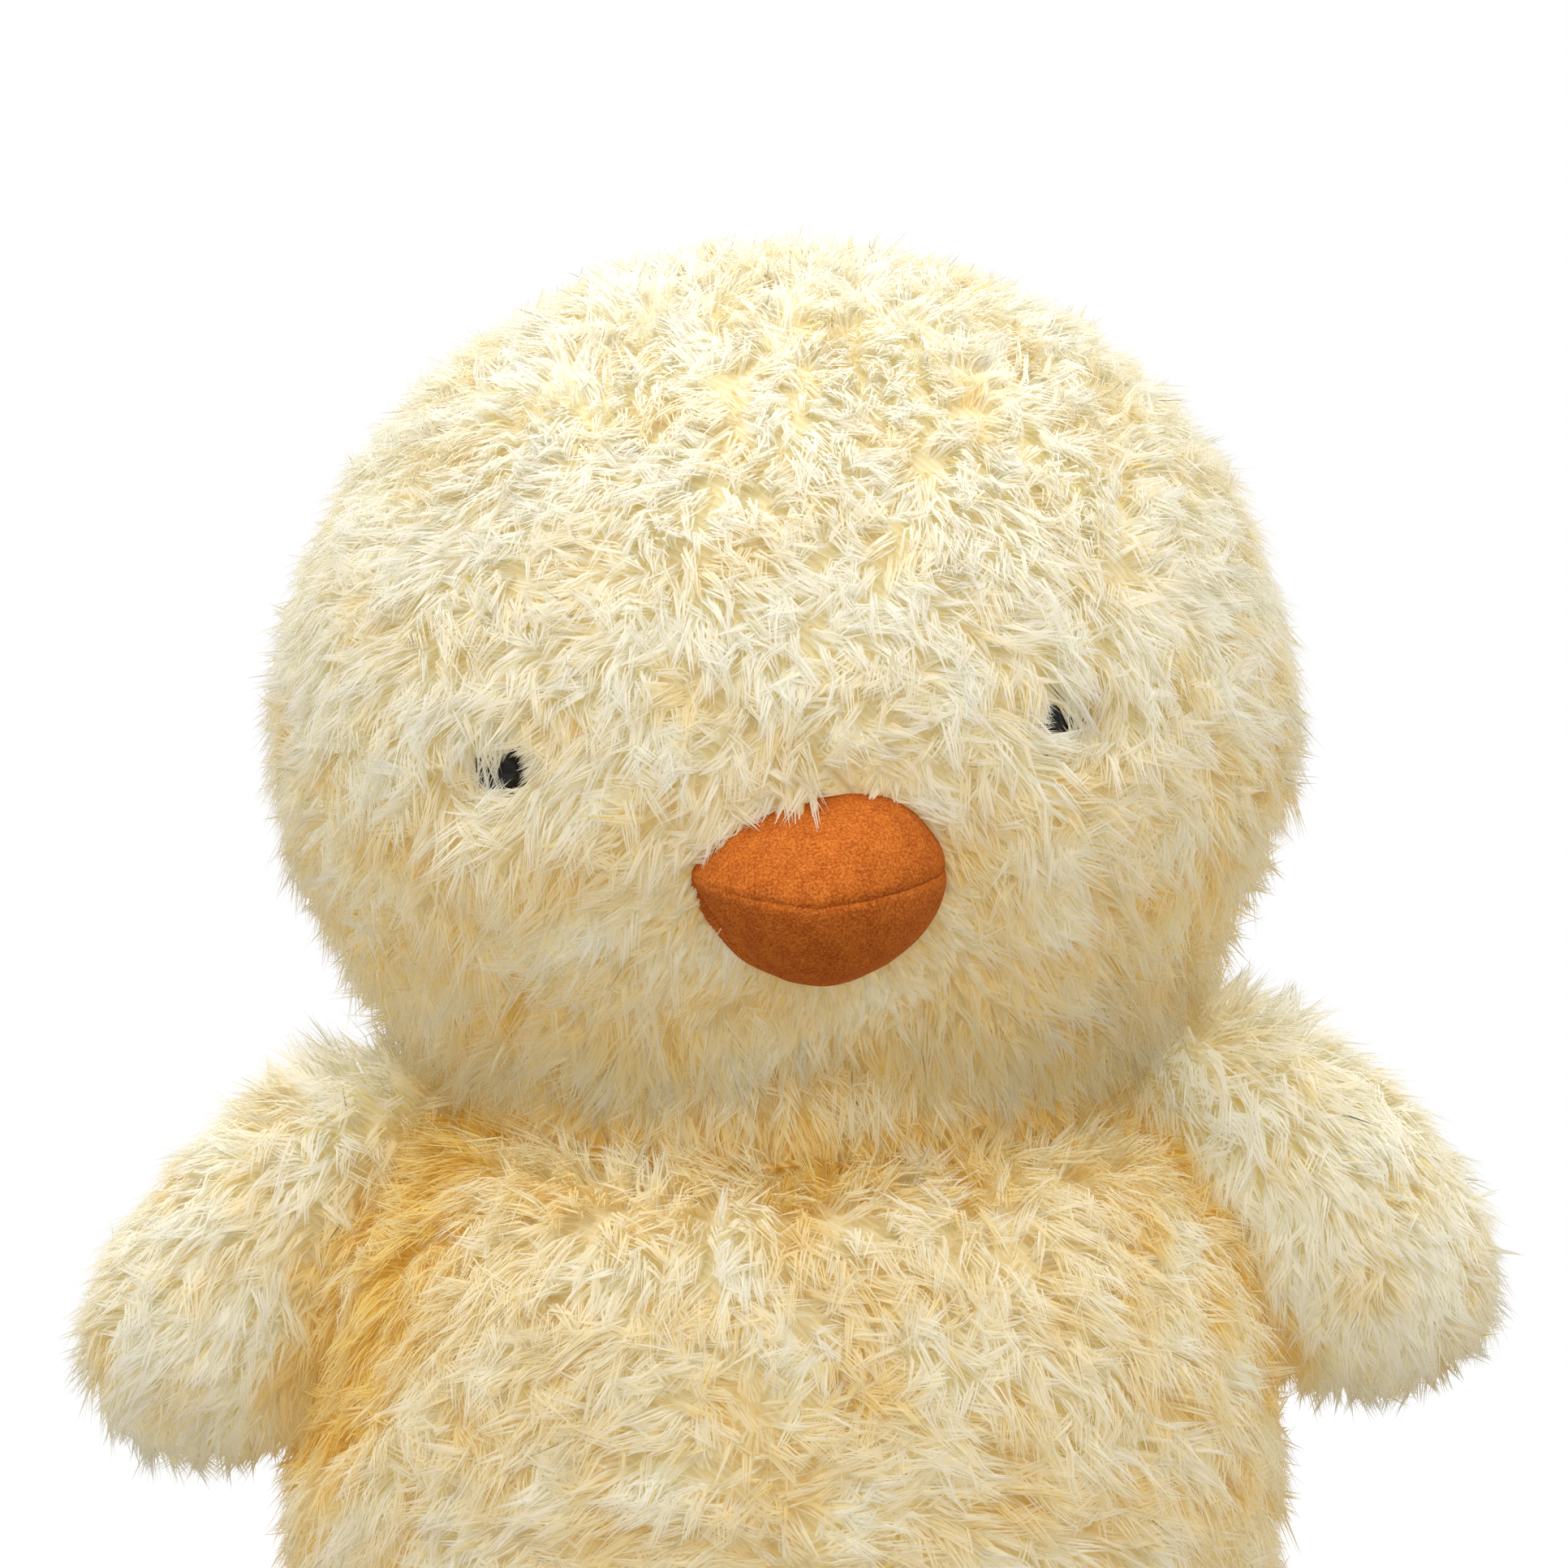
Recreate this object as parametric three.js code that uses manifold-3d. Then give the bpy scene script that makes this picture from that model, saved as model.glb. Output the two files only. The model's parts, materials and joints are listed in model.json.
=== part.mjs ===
// A sitting plush chick: pile covers over stuffing, a felt beak and feet, and safety eyes.
// Millimetres, +Z up, the face towards -Y. The origin is the middle of the flat base.
// Left and right are the toy's own: its left side is +X.

import * as THREE from 'three';
import { mergeVertices } from 'three/addons/utils/BufferGeometryUtils.js';
import Module from 'manifold-3d';

const wasm = await Module();
wasm.setup();

// Body: a pear with a flat foot, widest at the belly
const BODY_WIDTH = 80.5; // half of the belly's width
const BODY_DEPTH = 69; // half of the belly's depth
const BELLY_HEIGHT = 52; // of the widest ring above the floor
const SHOULDER_RISE = 104; // from the widest ring to the crown of the shoulders
const SHOULDER_SQUARENESS = 5; // 2 is a plain dome
const FOOT_RADIUS = 52; // of the flat base, across
const BELLY_LEAN = 5; // how far the belly comes forward

// Head: a broad dome on full cheeks
const HEAD_WIDTH = 82;
const HEAD_DEPTH = 73;
const HEAD_ABOVE = 77;
const HEAD_BELOW = 66;
const HEAD_RISE = 62; // from the neck's pivot to the head's widest ring
const HEAD_TILT = 5.3; // degrees, the toy's left cheek up

// Neck: the head bends over a ball of stuffing
const NECK_RADIUS = 54;
const NECK_DROP = 5; // from the crown of the shoulders down to the pivot
const NECK_TUCK = 20; // how far the neck gusset reaches below the pivot
const NECK_THREAD = 0.9; // radius of the ladder-stitched cord
const LADDER_STITCHES = 20;
const LADDER_SWING = 0.8; // how far the stitches climb and fall
const STITCH_STEPS = 3; // points in a stitch
const THREAD_SIDES = 5;

// Sheet goods
const PILE_BACKING = 2.5; // knit backing with the pressed foot of its pile
const FELT = 1.6;
const POUCH_CLOTH = 1;
const PANEL = 2.2;
const GAP = 0.3; // between pieces that touch
const PANEL_MARGIN = 3; // of the cover left round the base panel

// Pellet pouch on the base panel
const POUCH_WIDTH = 40;
const POUCH_DEPTH = 32;
const POUCH_FOOT = 30;
const POUCH_BELOW = 9;
const POUCH_ABOVE = 12;
const POUCH_MOUTH = 5;

// Beak: an almond in front view, drooping to its tip
const BEAK_WIDTH = 21.5; // half of it
const BEAK_ABOVE = 14;
const BEAK_BELOW = 19;
const BEAK_REACH = 25;
const BEAK_ROOT = 16; // how far its felt runs in under the face
const BEAK_LENS = 1.35; // 1 is an oval in front view, 2 two arcs that meet at the corners
const BEAK_BLUNTNESS = 0.6; // 0.5 is a dome, 1 a parabola
const BEAK_DROOP = 2.5; // how far the tip hangs
const BEAK_FALL = 16; // below the head's widest ring
const BEAK_LEVEL = 4.4; // degrees, sewn on nearly level on the tilted head
const BEAK_SIDE = 4; // sewn on a little to the toy's left

// Eyes
const EYE_RADIUS = 5;
const EYE_DOME = 4.4;
const EYE_FLANGE = 1;
const EYE_SPREAD = 46.5; // of each eye from the middle
const EYE_LIFT = 4; // above the head's widest ring
const SHANK_RADIUS = 2;
const SHANK_RIB = 0.35;
const SHANK_RIBS = 3;
const RIB_TAPER = 0.8; // the part of each rib that widens
const SHANK_LENGTH = 13;
const WASHER_RADIUS = 7;
const WASHER = 1.3; // its thickness
const WASHER_DEPTH = 4.2; // from the face to the washer

// Wings: stuffed eggs, hung from the shoulder
const WING_WIDTH = 21;
const WING_DEPTH = 16;
const WING_SQUARENESS = 2.6; // of its tip, 2 is a plain oval
const WING_INBOARD = 38;
const WING_MIDDLE = 31; // from the hinge to the widest ring
const WING_DROOP = 43; // degrees below level
const WING_LIFT = 22; // degrees that a wing can be raised
// Each wing: its hinge below the crown of the shoulders, how far the wing is sewn on above its
// hinge's own line, and its reach from its widest ring to its tip
const LEFT_WING = { fall: 14, lift: 12, outboard: 38 };
const RIGHT_WING = { fall: 16, lift: 1.5, outboard: 42 };

// Feet: felt, with three round toes
const TOES_LENGTH = 62;
const TOES_WIDTH = 50;
const TOES_HEIGHT = 16;
const TOES_SQUARENESS = 2.4; // of the foot's dome, 2 is plain
const TOE_TURN = 45; // degrees from toe to toe, round the foot's middle
const TOE_CLEFT = 0.2; // how deep the clefts are, as a part of the foot's radius
const CLEFT_FADE = 0.5; // how much of a cleft is gone at the foot's crown
const CLEFTS_FULL = 53; // degrees from the middle toe, up to where the clefts are full
const CLEFTS_END = 84; // and where there are none
const FEET_SPREAD = 33;
const FEET_SPLAY = 17; // degrees
const HEEL_FORWARD = 45; // of the heel in front of the base's middle
const HEEL_TURN = 1.5; // height of the heel's seam
const TOES_LIFT = 20; // degrees that a foot can be raised

// Tail: a short stuffed nub
const TAIL_WIDTH = 17;
const TAIL_DEPTH = 12;
const TAIL_INSIDE = 12;
const TAIL_REACH = 24;
const TAIL_HEIGHT = 46;
const TAIL_RISE = 32; // degrees above level

// Facets
const ROUND = 24;
const SMALL_ROUND = 16;
const FOOT_ROUND = 32;
const EYE_ROUND = 12;
const LOWER_RINGS = 5;
const UPPER_RINGS = 7;
const SMALL_RINGS = 4;

const UP = new THREE.Vector3(0, 0, 1);
const ACROSS = new THREE.Vector3(0, 1, 0); // the axis of the wings and of the head's tilt
const ACROSS_FEET = new THREE.Vector3(1, 0, 0);
const radians = THREE.MathUtils.degToRad;

const PILE = { color: 0xf0e6b8, roughness: 0.95, metalness: 0 };
const FELT_ORANGE = { color: 0xd0702c, roughness: 0.9, metalness: 0 };
const STUFFING = { color: 0xf4f2ec, roughness: 1, metalness: 0 };
const BLACK_EYE = { color: 0x0a0908, roughness: 0.1, metalness: 0 };
const WASHER_WHITE = { color: 0xe8e6e0, roughness: 0.5, metalness: 0 };
const MUSLIN = { color: 0xe6dcc4, roughness: 0.9, metalness: 0 };
const PELLETS = { color: 0xd9d9d4, roughness: 0.6, metalness: 0 };
const THREAD = { color: 0xe8c774, roughness: 0.8, metalness: 0 };

// Solids: a geometry with its vertices merged, ready to be cut or joined
function solid(geometry) {
  const bare = geometry.clone();
  bare.deleteAttribute('normal');
  bare.deleteAttribute('uv');
  const merged = mergeVertices(bare);
  const corners = merged.index.array;
  const faces = [];
  for (let i = 0; i < corners.length; i += 3) {
    const [a, b, c] = corners.slice(i, i + 3);
    if (a !== b && b !== c && c !== a) faces.push(a, b, c);
  }
  const vertProperties = new Float32Array(merged.attributes.position.array);
  const triVerts = new Uint32Array(faces);
  return new wasm.Manifold(new wasm.Mesh({ numProp: 3, vertProperties, triVerts }));
}

function cut(whole, ...tools) {
  return tools.reduce((left, tool) => left.subtract(tool), whole);
}

function piece(name, shape, finish) {
  const { vertProperties, triVerts } = shape.getMesh();
  const geometry = new THREE.BufferGeometry();
  geometry.setAttribute('position', new THREE.BufferAttribute(vertProperties, 3));
  geometry.setIndex(new THREE.BufferAttribute(triVerts, 1));
  geometry.computeVertexNormals();
  const mesh = new THREE.Mesh(geometry, new THREE.MeshStandardMaterial(finish));
  mesh.name = name;
  return mesh;
}

// A copy of a geometry with each point moved by a function
function moulded(geometry, move) {
  const copy = geometry.clone();
  const at = copy.attributes.position;
  const point = new THREE.Vector3();
  for (let i = 0; i < at.count; i += 1) {
    move(point.fromBufferAttribute(at, i));
    at.setXYZ(i, point.x, point.y, point.z);
  }
  return copy;
}

// A copy of a geometry turned about an axis through the origin
function turned(geometry, axis, degrees) {
  return geometry.clone().applyMatrix4(new THREE.Matrix4().makeRotationAxis(axis, radians(degrees)));
}

// A lathe round Z, from a profile that runs upwards
function lathed(profile, segments) {
  return new THREE.LatheGeometry(profile, segments).rotateX(Math.PI / 2);
}

function rod(radius, low, high, segments = SMALL_ROUND) {
  const ends = [[0, low], [radius, low], [radius, high], [0, high]];
  return lathed(ends.map(([r, z]) => new THREE.Vector2(r, z)), segments);
}

function block(low, high) {
  const box = new THREE.Box3(low, high);
  const size = box.getSize(new THREE.Vector3());
  const middle = box.getCenter(new THREE.Vector3());
  return new THREE.BoxGeometry(...size).translate(...middle);
}

// A ball whose flats, not its corners, reach the radius
function ballAround(radius, segments = ROUND) {
  const sag = Math.cos(Math.PI / segments);
  return new THREE.SphereGeometry(radius / sag ** 2, segments, segments / 2).rotateX(Math.PI / 2);
}

function ball(radius, segments = ROUND) {
  return new THREE.SphereGeometry(radius, segments, segments / 2).rotateX(Math.PI / 2);
}

// One side of a stuffed form, from the middle of its foot to its crown. Z is 0 at its widest.
function sideOf({ width, foot = 0, below, above, squareness = 2, rings = UPPER_RINGS }, grow) {
  const wide = width + grow;
  const flat = foot && foot + grow;
  const low = below + grow;
  const high = above + grow;
  const lowRings = Math.min(rings, LOWER_RINGS);
  const points = foot ? [new THREE.Vector2(0, -low)] : [];
  for (let i = 0; i <= lowRings; i += 1) {
    const turn = (i / lowRings) * (Math.PI / 2);
    points.push(new THREE.Vector2(flat + (wide - flat) * Math.sin(turn), -low * Math.cos(turn)));
  }
  for (let i = 1; i < rings; i += 1) {
    const turn = (i / rings) ** (squareness / 2) * (Math.PI / 2);
    const rise = high * Math.sin(turn) ** (2 / squareness);
    points.push(new THREE.Vector2(wide * Math.cos(turn), rise));
  }
  points.push(new THREE.Vector2(0, high));
  return points;
}

// A stuffed form round Z, grown or shrunk all round
function stuffed(form, grow = 0, segments = ROUND) {
  const deep = (form.depth + grow) / (form.width + grow);
  return lathed(sideOf(form, grow), segments).scale(1, deep, 1);
}

// The upper half of a cushion on a flat foot, drawn in all round by an inset
function domed({ width, depth, above, squareness, rings }, inset, segments) {
  const wide = width - inset;
  const points = [new THREE.Vector2(0, 0)];
  for (let i = 0; i < rings; i += 1) {
    const turn = (i / rings) * (Math.PI / 2);
    const rise = (above - inset) * Math.sin(turn) ** (2 / squareness);
    points.push(new THREE.Vector2(wide * Math.cos(turn) ** (2 / squareness), rise));
  }
  points.push(new THREE.Vector2(0, above - inset));
  return lathed(points, segments).scale(1, (depth - inset) / wide, 1);
}

// The body's form and its surface
const BODY = {
  width: BODY_WIDTH,
  depth: BODY_DEPTH,
  foot: FOOT_RADIUS,
  below: BELLY_HEIGHT,
  above: SHOULDER_RISE,
  squareness: SHOULDER_SQUARENESS,
  rings: UPPER_RINGS + 1,
};
const SHOULDER_HEIGHT = BELLY_HEIGHT + SHOULDER_RISE;
const NECK = new THREE.Vector3(0, 0, SHOULDER_HEIGHT - NECK_DROP);
const NECK_SEAM_RADIUS = NECK_RADIUS + GAP + NECK_THREAD * 2;

function lean(height) {
  const share = THREE.MathUtils.clamp(height / SHOULDER_HEIGHT, 0, 1);
  return -BELLY_LEAN * Math.sin(Math.PI * share) ** 2;
}

// The body is oval at the belly and nearly round at the neck
function roundness(height) {
  const share = THREE.MathUtils.clamp((height - BELLY_HEIGHT) / SHOULDER_RISE, 0, 1);
  return 1 + (BODY_WIDTH / BODY_DEPTH - 1) * share ** 3;
}

function bodyForm(grow = 0) {
  const form = stuffed(BODY, grow).translate(0, 0, BELLY_HEIGHT);
  return moulded(form, (point) => {
    point.y = point.y * roundness(point.z) + lean(point.z);
  });
}

// Half of the body's width at a distance below the crown of the shoulders
function bodyWidthBelow(fall) {
  const share = 1 - fall / SHOULDER_RISE;
  return BODY_WIDTH * Math.sqrt(1 - share ** SHOULDER_SQUARENESS);
}

// The height of the shoulders at a distance from the middle
function bodyTopAt(radius) {
  const share = (1 - (radius / BODY_WIDTH) ** 2) ** (1 / SHOULDER_SQUARENESS);
  return BELLY_HEIGHT + SHOULDER_RISE * share;
}

// The body: cover, filling, base panel and pellet pouch
function body() {
  const group = new THREE.Group();
  const panelWidth = FOOT_RADIUS - PANEL_MARGIN;
  const deep = BODY_DEPTH / BODY_WIDTH;
  const neckBowl = solid(ballAround(NECK_RADIUS + GAP).translate(...NECK));
  const panelHole = solid(
    rod(panelWidth + GAP, -PANEL, PANEL + PILE_BACKING, ROUND).scale(1, deep, 1),
  );
  const lining = solid(bodyForm(-PILE_BACKING));
  const cover = cut(solid(bodyForm()), lining, panelHole, neckBowl);
  group.add(piece('body_cover', cover, PILE));

  const panel = solid(rod(panelWidth, 0, PANEL, ROUND).scale(1, deep, 1));
  group.add(piece('base_panel', panel, MUSLIN));

  const pouch = {
    width: POUCH_WIDTH,
    depth: POUCH_DEPTH,
    foot: POUCH_FOOT,
    below: POUCH_BELOW,
    above: POUCH_ABOVE,
    rings: SMALL_RINGS,
  };
  const middle = PANEL + GAP + POUCH_BELOW;
  const pouchForm = (grow) => solid(stuffed(pouch, grow, SMALL_ROUND).translate(0, 0, middle));
  const mouth = solid(rod(POUCH_MOUTH, middle, middle + POUCH_ABOVE + POUCH_CLOTH));
  group.add(piece('pellet_bag', cut(pouchForm(0), pouchForm(-POUCH_CLOTH), mouth), MUSLIN));
  group.add(piece('pellet_fill', pouchForm(-POUCH_CLOTH - GAP), PELLETS));

  const filling = solid(bodyForm(-PILE_BACKING - GAP));
  group.add(piece('body_filling', cut(filling, pouchForm(GAP), neckBowl), STUFFING));
  return group;
}

// The cord that draws the neck seam together, climbing and falling at each stitch
function neckThread() {
  const steps = LADDER_STITCHES * STITCH_STEPS;
  const ring = new THREE.TorusGeometry(NECK_SEAM_RADIUS, NECK_THREAD, THREAD_SIDES, steps);
  const seam = bodyTopAt(NECK_RADIUS + NECK_THREAD);
  const stitched = moulded(ring, (point) => {
    const turn = Math.atan2(point.y, point.x);
    point.z += seam + NECK_THREAD + LADDER_SWING * Math.sin(turn * LADDER_STITCHES);
  });
  return piece('neck_thread', solid(stitched), THREAD);
}

// The head's own frame: its origin is the middle of its widest ring, and it is tilted
const headCentre = new THREE.Vector3(0, 0, NECK.z + HEAD_RISE);
const neckFromHead = NECK.clone().sub(headCentre).applyAxisAngle(ACROSS, radians(HEAD_TILT));

const HEAD = {
  width: HEAD_WIDTH,
  depth: HEAD_DEPTH,
  below: HEAD_BELOW,
  above: HEAD_ABOVE,
  rings: UPPER_RINGS,
};

// The point of the face in front of a place in the head's width and height, and its normal
function faceAt(x, z) {
  const high = z > 0 ? HEAD_ABOVE : HEAD_BELOW;
  const y = -HEAD_DEPTH * Math.sqrt(1 - (x / HEAD_WIDTH) ** 2 - (z / high) ** 2);
  const normal = new THREE.Vector3(x / HEAD_WIDTH ** 2, y / HEAD_DEPTH ** 2, z / high ** 2);
  return { point: new THREE.Vector3(x, y, z), normal: normal.normalize() };
}

// A shape built up Z, stood out from the face at a place
function onFace(geometry, { point, normal }) {
  const turn = new THREE.Quaternion().setFromUnitVectors(UP, normal);
  return geometry.clone().applyQuaternion(turn).translate(...point);
}

const EYES = {
  left: faceAt(EYE_SPREAD, EYE_LIFT),
  right: faceAt(-EYE_SPREAD, EYE_LIFT),
};

// The eye's dome on a flange, with a ribbed shank behind it
function eye() {
  const points = [new THREE.Vector2(0, -SHANK_LENGTH)];
  const pitch = (SHANK_LENGTH - WASHER_DEPTH) / SHANK_RIBS;
  for (let i = 0; i < SHANK_RIBS; i += 1) {
    const low = -SHANK_LENGTH + pitch * i;
    points.push(new THREE.Vector2(SHANK_RADIUS - SHANK_RIB, low));
    points.push(new THREE.Vector2(SHANK_RADIUS, low + pitch * RIB_TAPER));
  }
  points.push(new THREE.Vector2(SHANK_RADIUS - SHANK_RIB, -WASHER_DEPTH));
  points.push(new THREE.Vector2(SHANK_RADIUS - SHANK_RIB, GAP));
  points.push(new THREE.Vector2(EYE_RADIUS, GAP));
  for (let i = 0; i < SMALL_RINGS; i += 1) {
    const turn = (i / SMALL_RINGS) * (Math.PI / 2);
    const rise = EYE_FLANGE + (EYE_DOME - EYE_FLANGE) * Math.sin(turn);
    points.push(new THREE.Vector2(EYE_RADIUS * Math.cos(turn), GAP + rise));
  }
  points.push(new THREE.Vector2(0, GAP + EYE_DOME));
  return lathed(points, EYE_ROUND);
}

// The washer, pushed on to the shank behind the cover
function washer() {
  const bore = SHANK_RADIUS + GAP / 2;
  const low = -WASHER_DEPTH - WASHER;
  const corners = [[bore, low], [WASHER_RADIUS, low], [WASHER_RADIUS, -WASHER_DEPTH]];
  corners.push([bore, -WASHER_DEPTH], [bore, low]);
  return lathed(corners.map(([r, z]) => new THREE.Vector2(r, z)), SMALL_ROUND);
}

// The beak's form, out along -Y from where it meets the face, before its tip droops
function beakForm(grow, root = BEAK_ROOT) {
  const wide = BEAK_WIDTH + grow;
  const long = BEAK_REACH + grow;
  const points = [new THREE.Vector2(0, -root), new THREE.Vector2(wide, -root)];
  const steps = SMALL_RINGS + 1;
  for (let i = 0; i < steps; i += 1) {
    const share = i / steps;
    points.push(new THREE.Vector2(wide * (1 - share ** 2) ** BEAK_BLUNTNESS, long * share));
  }
  points.push(new THREE.Vector2(0, long));
  const cone = lathed(points, SMALL_ROUND).rotateX(Math.PI / 2);
  return moulded(cone, (point) => {
    const radius = Math.hypot(point.x, point.z);
    if (radius === 0) return;
    const share = Math.abs(point.z / radius) ** BEAK_LENS;
    const high = (point.z > 0 ? BEAK_ABOVE : BEAK_BELOW) + grow;
    point.z = Math.sign(point.z) * share * radius * (high / wide);
  });
}

// Three beak pieces, cut by the face: the upper and lower gores, and their filling
function beak(face) {
  const far = BEAK_WIDTH + BEAK_REACH + BEAK_ROOT;
  const seat = faceAt(BEAK_SIDE, -BEAK_FALL).point;
  const above = solid(block(new THREE.Vector3(-far, -far, GAP / 2), new THREE.Vector3(far, far, far)));
  const below = solid(block(new THREE.Vector3(-far, -far, -far), new THREE.Vector3(far, far, -GAP / 2)));
  const felt = cut(solid(beakForm(0)), solid(beakForm(-FELT, BEAK_ROOT + FELT)));
  const place = (shape) => {
    const geometry = moulded(piece('', shape, FELT_ORANGE).geometry, (point) => {
      point.z -= BEAK_DROOP * (Math.max(-point.y, 0) / BEAK_REACH) ** 2;
    });
    return cut(solid(turned(geometry, ACROSS, BEAK_LEVEL).translate(...seat)), face);
  };
  return [
    piece('upper_beak', place(felt.intersect(above)), FELT_ORANGE),
    piece('lower_beak', place(felt.intersect(below)), FELT_ORANGE),
    piece('beak_filling', place(solid(beakForm(-FELT - GAP))), STUFFING),
  ];
}

// The head, in its own frame
function head() {
  const group = new THREE.Group();
  const neckCap = solid(block(
    new THREE.Vector3(-HEAD_WIDTH, -HEAD_DEPTH, neckFromHead.z - NECK_TUCK),
    new THREE.Vector3(HEAD_WIDTH, HEAD_DEPTH, 0),
  ));
  const neckBall = solid(ball(NECK_RADIUS).translate(...neckFromHead));
  const neckHollow = solid(ballAround(NECK_RADIUS - PILE_BACKING).translate(...neckFromHead));
  const holes = Object.values(EYES).map((place) => (
    solid(onFace(rod(SHANK_RADIUS + GAP, -SHANK_LENGTH, EYE_DOME), place))
  ));
  const pockets = Object.values(EYES).map((place) => {
    const pocket = rod(WASHER_RADIUS + GAP, -SHANK_LENGTH - GAP, -WASHER_DEPTH + GAP);
    return solid(onFace(pocket, place));
  });
  const lining = solid(stuffed(HEAD, -PILE_BACKING));
  const cover = cut(solid(stuffed(HEAD)), lining, neckHollow, ...holes, ...pockets);
  group.add(piece('head_cover', cover, PILE));
  const gusset = cut(neckBall.intersect(neckCap), neckHollow, solid(stuffed(HEAD, GAP)));
  group.add(piece('neck_gusset', gusset, PILE));

  const filling = solid(stuffed(HEAD, -PILE_BACKING - GAP));
  group.add(piece('head_filling', cut(filling, neckHollow, ...holes, ...pockets), STUFFING));

  for (const [side, place] of Object.entries(EYES)) {
    group.add(piece(`${side}_eye`, solid(onFace(eye(), place)), BLACK_EYE));
    group.add(piece(`${side}_eye_washer`, solid(onFace(washer(), place)), WASHER_WHITE));
  }
  group.add(...beak(solid(stuffed(HEAD, GAP))));
  group.position.copy(headCentre);
  group.rotation.y = radians(-HEAD_TILT);
  return group;
}

// The stuffing in the neck: a ball inside the head's neck edge
function neckFilling() {
  const radius = NECK_RADIUS - PILE_BACKING - GAP;
  const mesh = piece('neck_filling', solid(ball(radius)), STUFFING);
  mesh.position.copy(NECK);
  return mesh;
}

// The body and the room round its neck as tools, seen from a limb's hinge at each step of its
// swing. What they cut from the limb leaves room for the whole swing.
function sweptBody(hinge, axis, swing) {
  const flats = Math.cos(Math.PI / ROUND);
  const room = (NECK_SEAM_RADIUS + NECK_THREAD + GAP) / flats;
  const tools = [bodyForm(GAP), rod(room, BELLY_HEIGHT, NECK.z + HEAD_RISE, ROUND)];
  return [0, 0.5, 1].map((share) => tools
    .map((tool) => solid(turned(tool.clone().translate(...hinge.clone().negate()), axis, swing * share)))
    .reduce((joined, tool) => joined.add(tool)));
}

// A wing in its hinge's frame, on the side that its sign gives
function wing(name, sign, { fall, lift, outboard }) {
  const group = new THREE.Group();
  const hinge = new THREE.Vector3(sign * bodyWidthBelow(fall), 0, SHOULDER_HEIGHT - fall);
  const egg = {
    width: WING_WIDTH,
    depth: WING_DEPTH,
    below: WING_INBOARD,
    above: outboard,
    squareness: WING_SQUARENESS,
    rings: SMALL_RINGS + 1,
  };
  const form = (grow) => {
    const upright = stuffed(egg, grow, SMALL_ROUND).translate(-sign * lift, 0, WING_MIDDLE);
    return solid(turned(upright, ACROSS, sign * (90 + WING_DROOP)));
  };
  const swept = sweptBody(hinge, ACROSS, sign * WING_LIFT);
  const cover = cut(form(0), form(-PILE_BACKING), ...swept);
  group.add(piece(`${name}_wing_cover`, cover, PILE));
  group.add(piece(`${name}_wing_filling`, cut(form(-PILE_BACKING - GAP), ...swept), STUFFING));
  group.position.copy(hinge);
  return group;
}

// The outline of a foot: an oval round its middle, drawn in at the clefts between its toes
function toed(geometry) {
  return moulded(geometry, (point) => {
    const turn = Math.atan2(point.x, -point.y);
    const front = THREE.MathUtils.smoothstep(-Math.abs(turn), -radians(CLEFTS_END), -radians(CLEFTS_FULL));
    const cleft = TOE_CLEFT * front * (1 - Math.abs(Math.cos(turn * (180 / TOE_TURN))));
    const edge = 1 - CLEFT_FADE * (point.z / TOES_HEIGHT);
    point.x *= 1 - cleft * edge;
    point.y *= 1 - cleft * edge;
  });
}

// A foot in its hinge's frame, on the side that its sign gives
function foot(name, sign) {
  const group = new THREE.Group();
  const heel = new THREE.Vector3(sign * FEET_SPREAD, -HEEL_FORWARD, HEEL_TURN);
  const across = ACROSS_FEET.clone().applyAxisAngle(UP, radians(sign * FEET_SPLAY));
  const place = (shape) => {
    const flat = shape.translate(0, -TOES_LENGTH / 2, -HEEL_TURN);
    return solid(turned(flat, UP, sign * FEET_SPLAY));
  };
  const long = TOES_LENGTH / 2;
  const dome = (inset, floor) => {
    const form = {
      width: TOES_WIDTH / 2,
      depth: long,
      above: TOES_HEIGHT - floor,
      squareness: TOES_SQUARENESS,
      rings: SMALL_RINGS - 1,
    };
    return place(toed(domed(form, inset, FOOT_ROUND)).translate(0, 0, floor));
  };
  const swept = sweptBody(heel, across, TOES_LIFT);
  const soleForm = rod(long, 0, FELT, FOOT_ROUND).scale(TOES_WIDTH / TOES_LENGTH, 1, 1);
  group.add(piece(`${name}_foot_sole`, cut(place(toed(soleForm)), ...swept), FELT_ORANGE));
  const top = cut(dome(0, FELT + GAP), dome(FELT, FELT), ...swept);
  group.add(piece(`${name}_foot_top`, top, FELT_ORANGE));
  const filling = cut(dome(FELT + GAP, FELT + GAP), ...swept);
  group.add(piece(`${name}_foot_filling`, filling, STUFFING));
  group.position.copy(heel);
  return group;
}

// The tail, sewn to the rump
function tail() {
  const egg = {
    width: TAIL_WIDTH,
    depth: TAIL_DEPTH,
    below: TAIL_INSIDE,
    above: TAIL_REACH,
    rings: SMALL_RINGS,
  };
  const seat = new THREE.Vector3(0, BODY_DEPTH + lean(TAIL_HEIGHT), TAIL_HEIGHT);
  const form = (grow) => {
    const upright = stuffed(egg, grow, SMALL_ROUND);
    return solid(turned(upright, ACROSS_FEET, TAIL_RISE - 90).translate(...seat));
  };
  const rump = solid(bodyForm(GAP));
  return [
    piece('tail_cover', cut(form(0), form(-PILE_BACKING), rump), PILE),
    piece('tail_filling', cut(form(-PILE_BACKING - GAP), rump), STUFFING),
  ];
}

const root = new THREE.Group();
root.add(body(), neckThread(), neckFilling(), head(), ...tail());
root.add(wing('left', 1, LEFT_WING), wing('right', -1, RIGHT_WING));
root.add(foot('left', 1), foot('right', -1));
export default root;
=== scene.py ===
"""Dresses the plush chick: stuffed knit skins under a long pile, felt beak and feet, glossy eyes.

Everything is in metres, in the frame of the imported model: +Z is up, the face looks towards -Y,
and the toy's own left side is towards +X. Sizes in the classes are in millimetres.
"""

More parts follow.
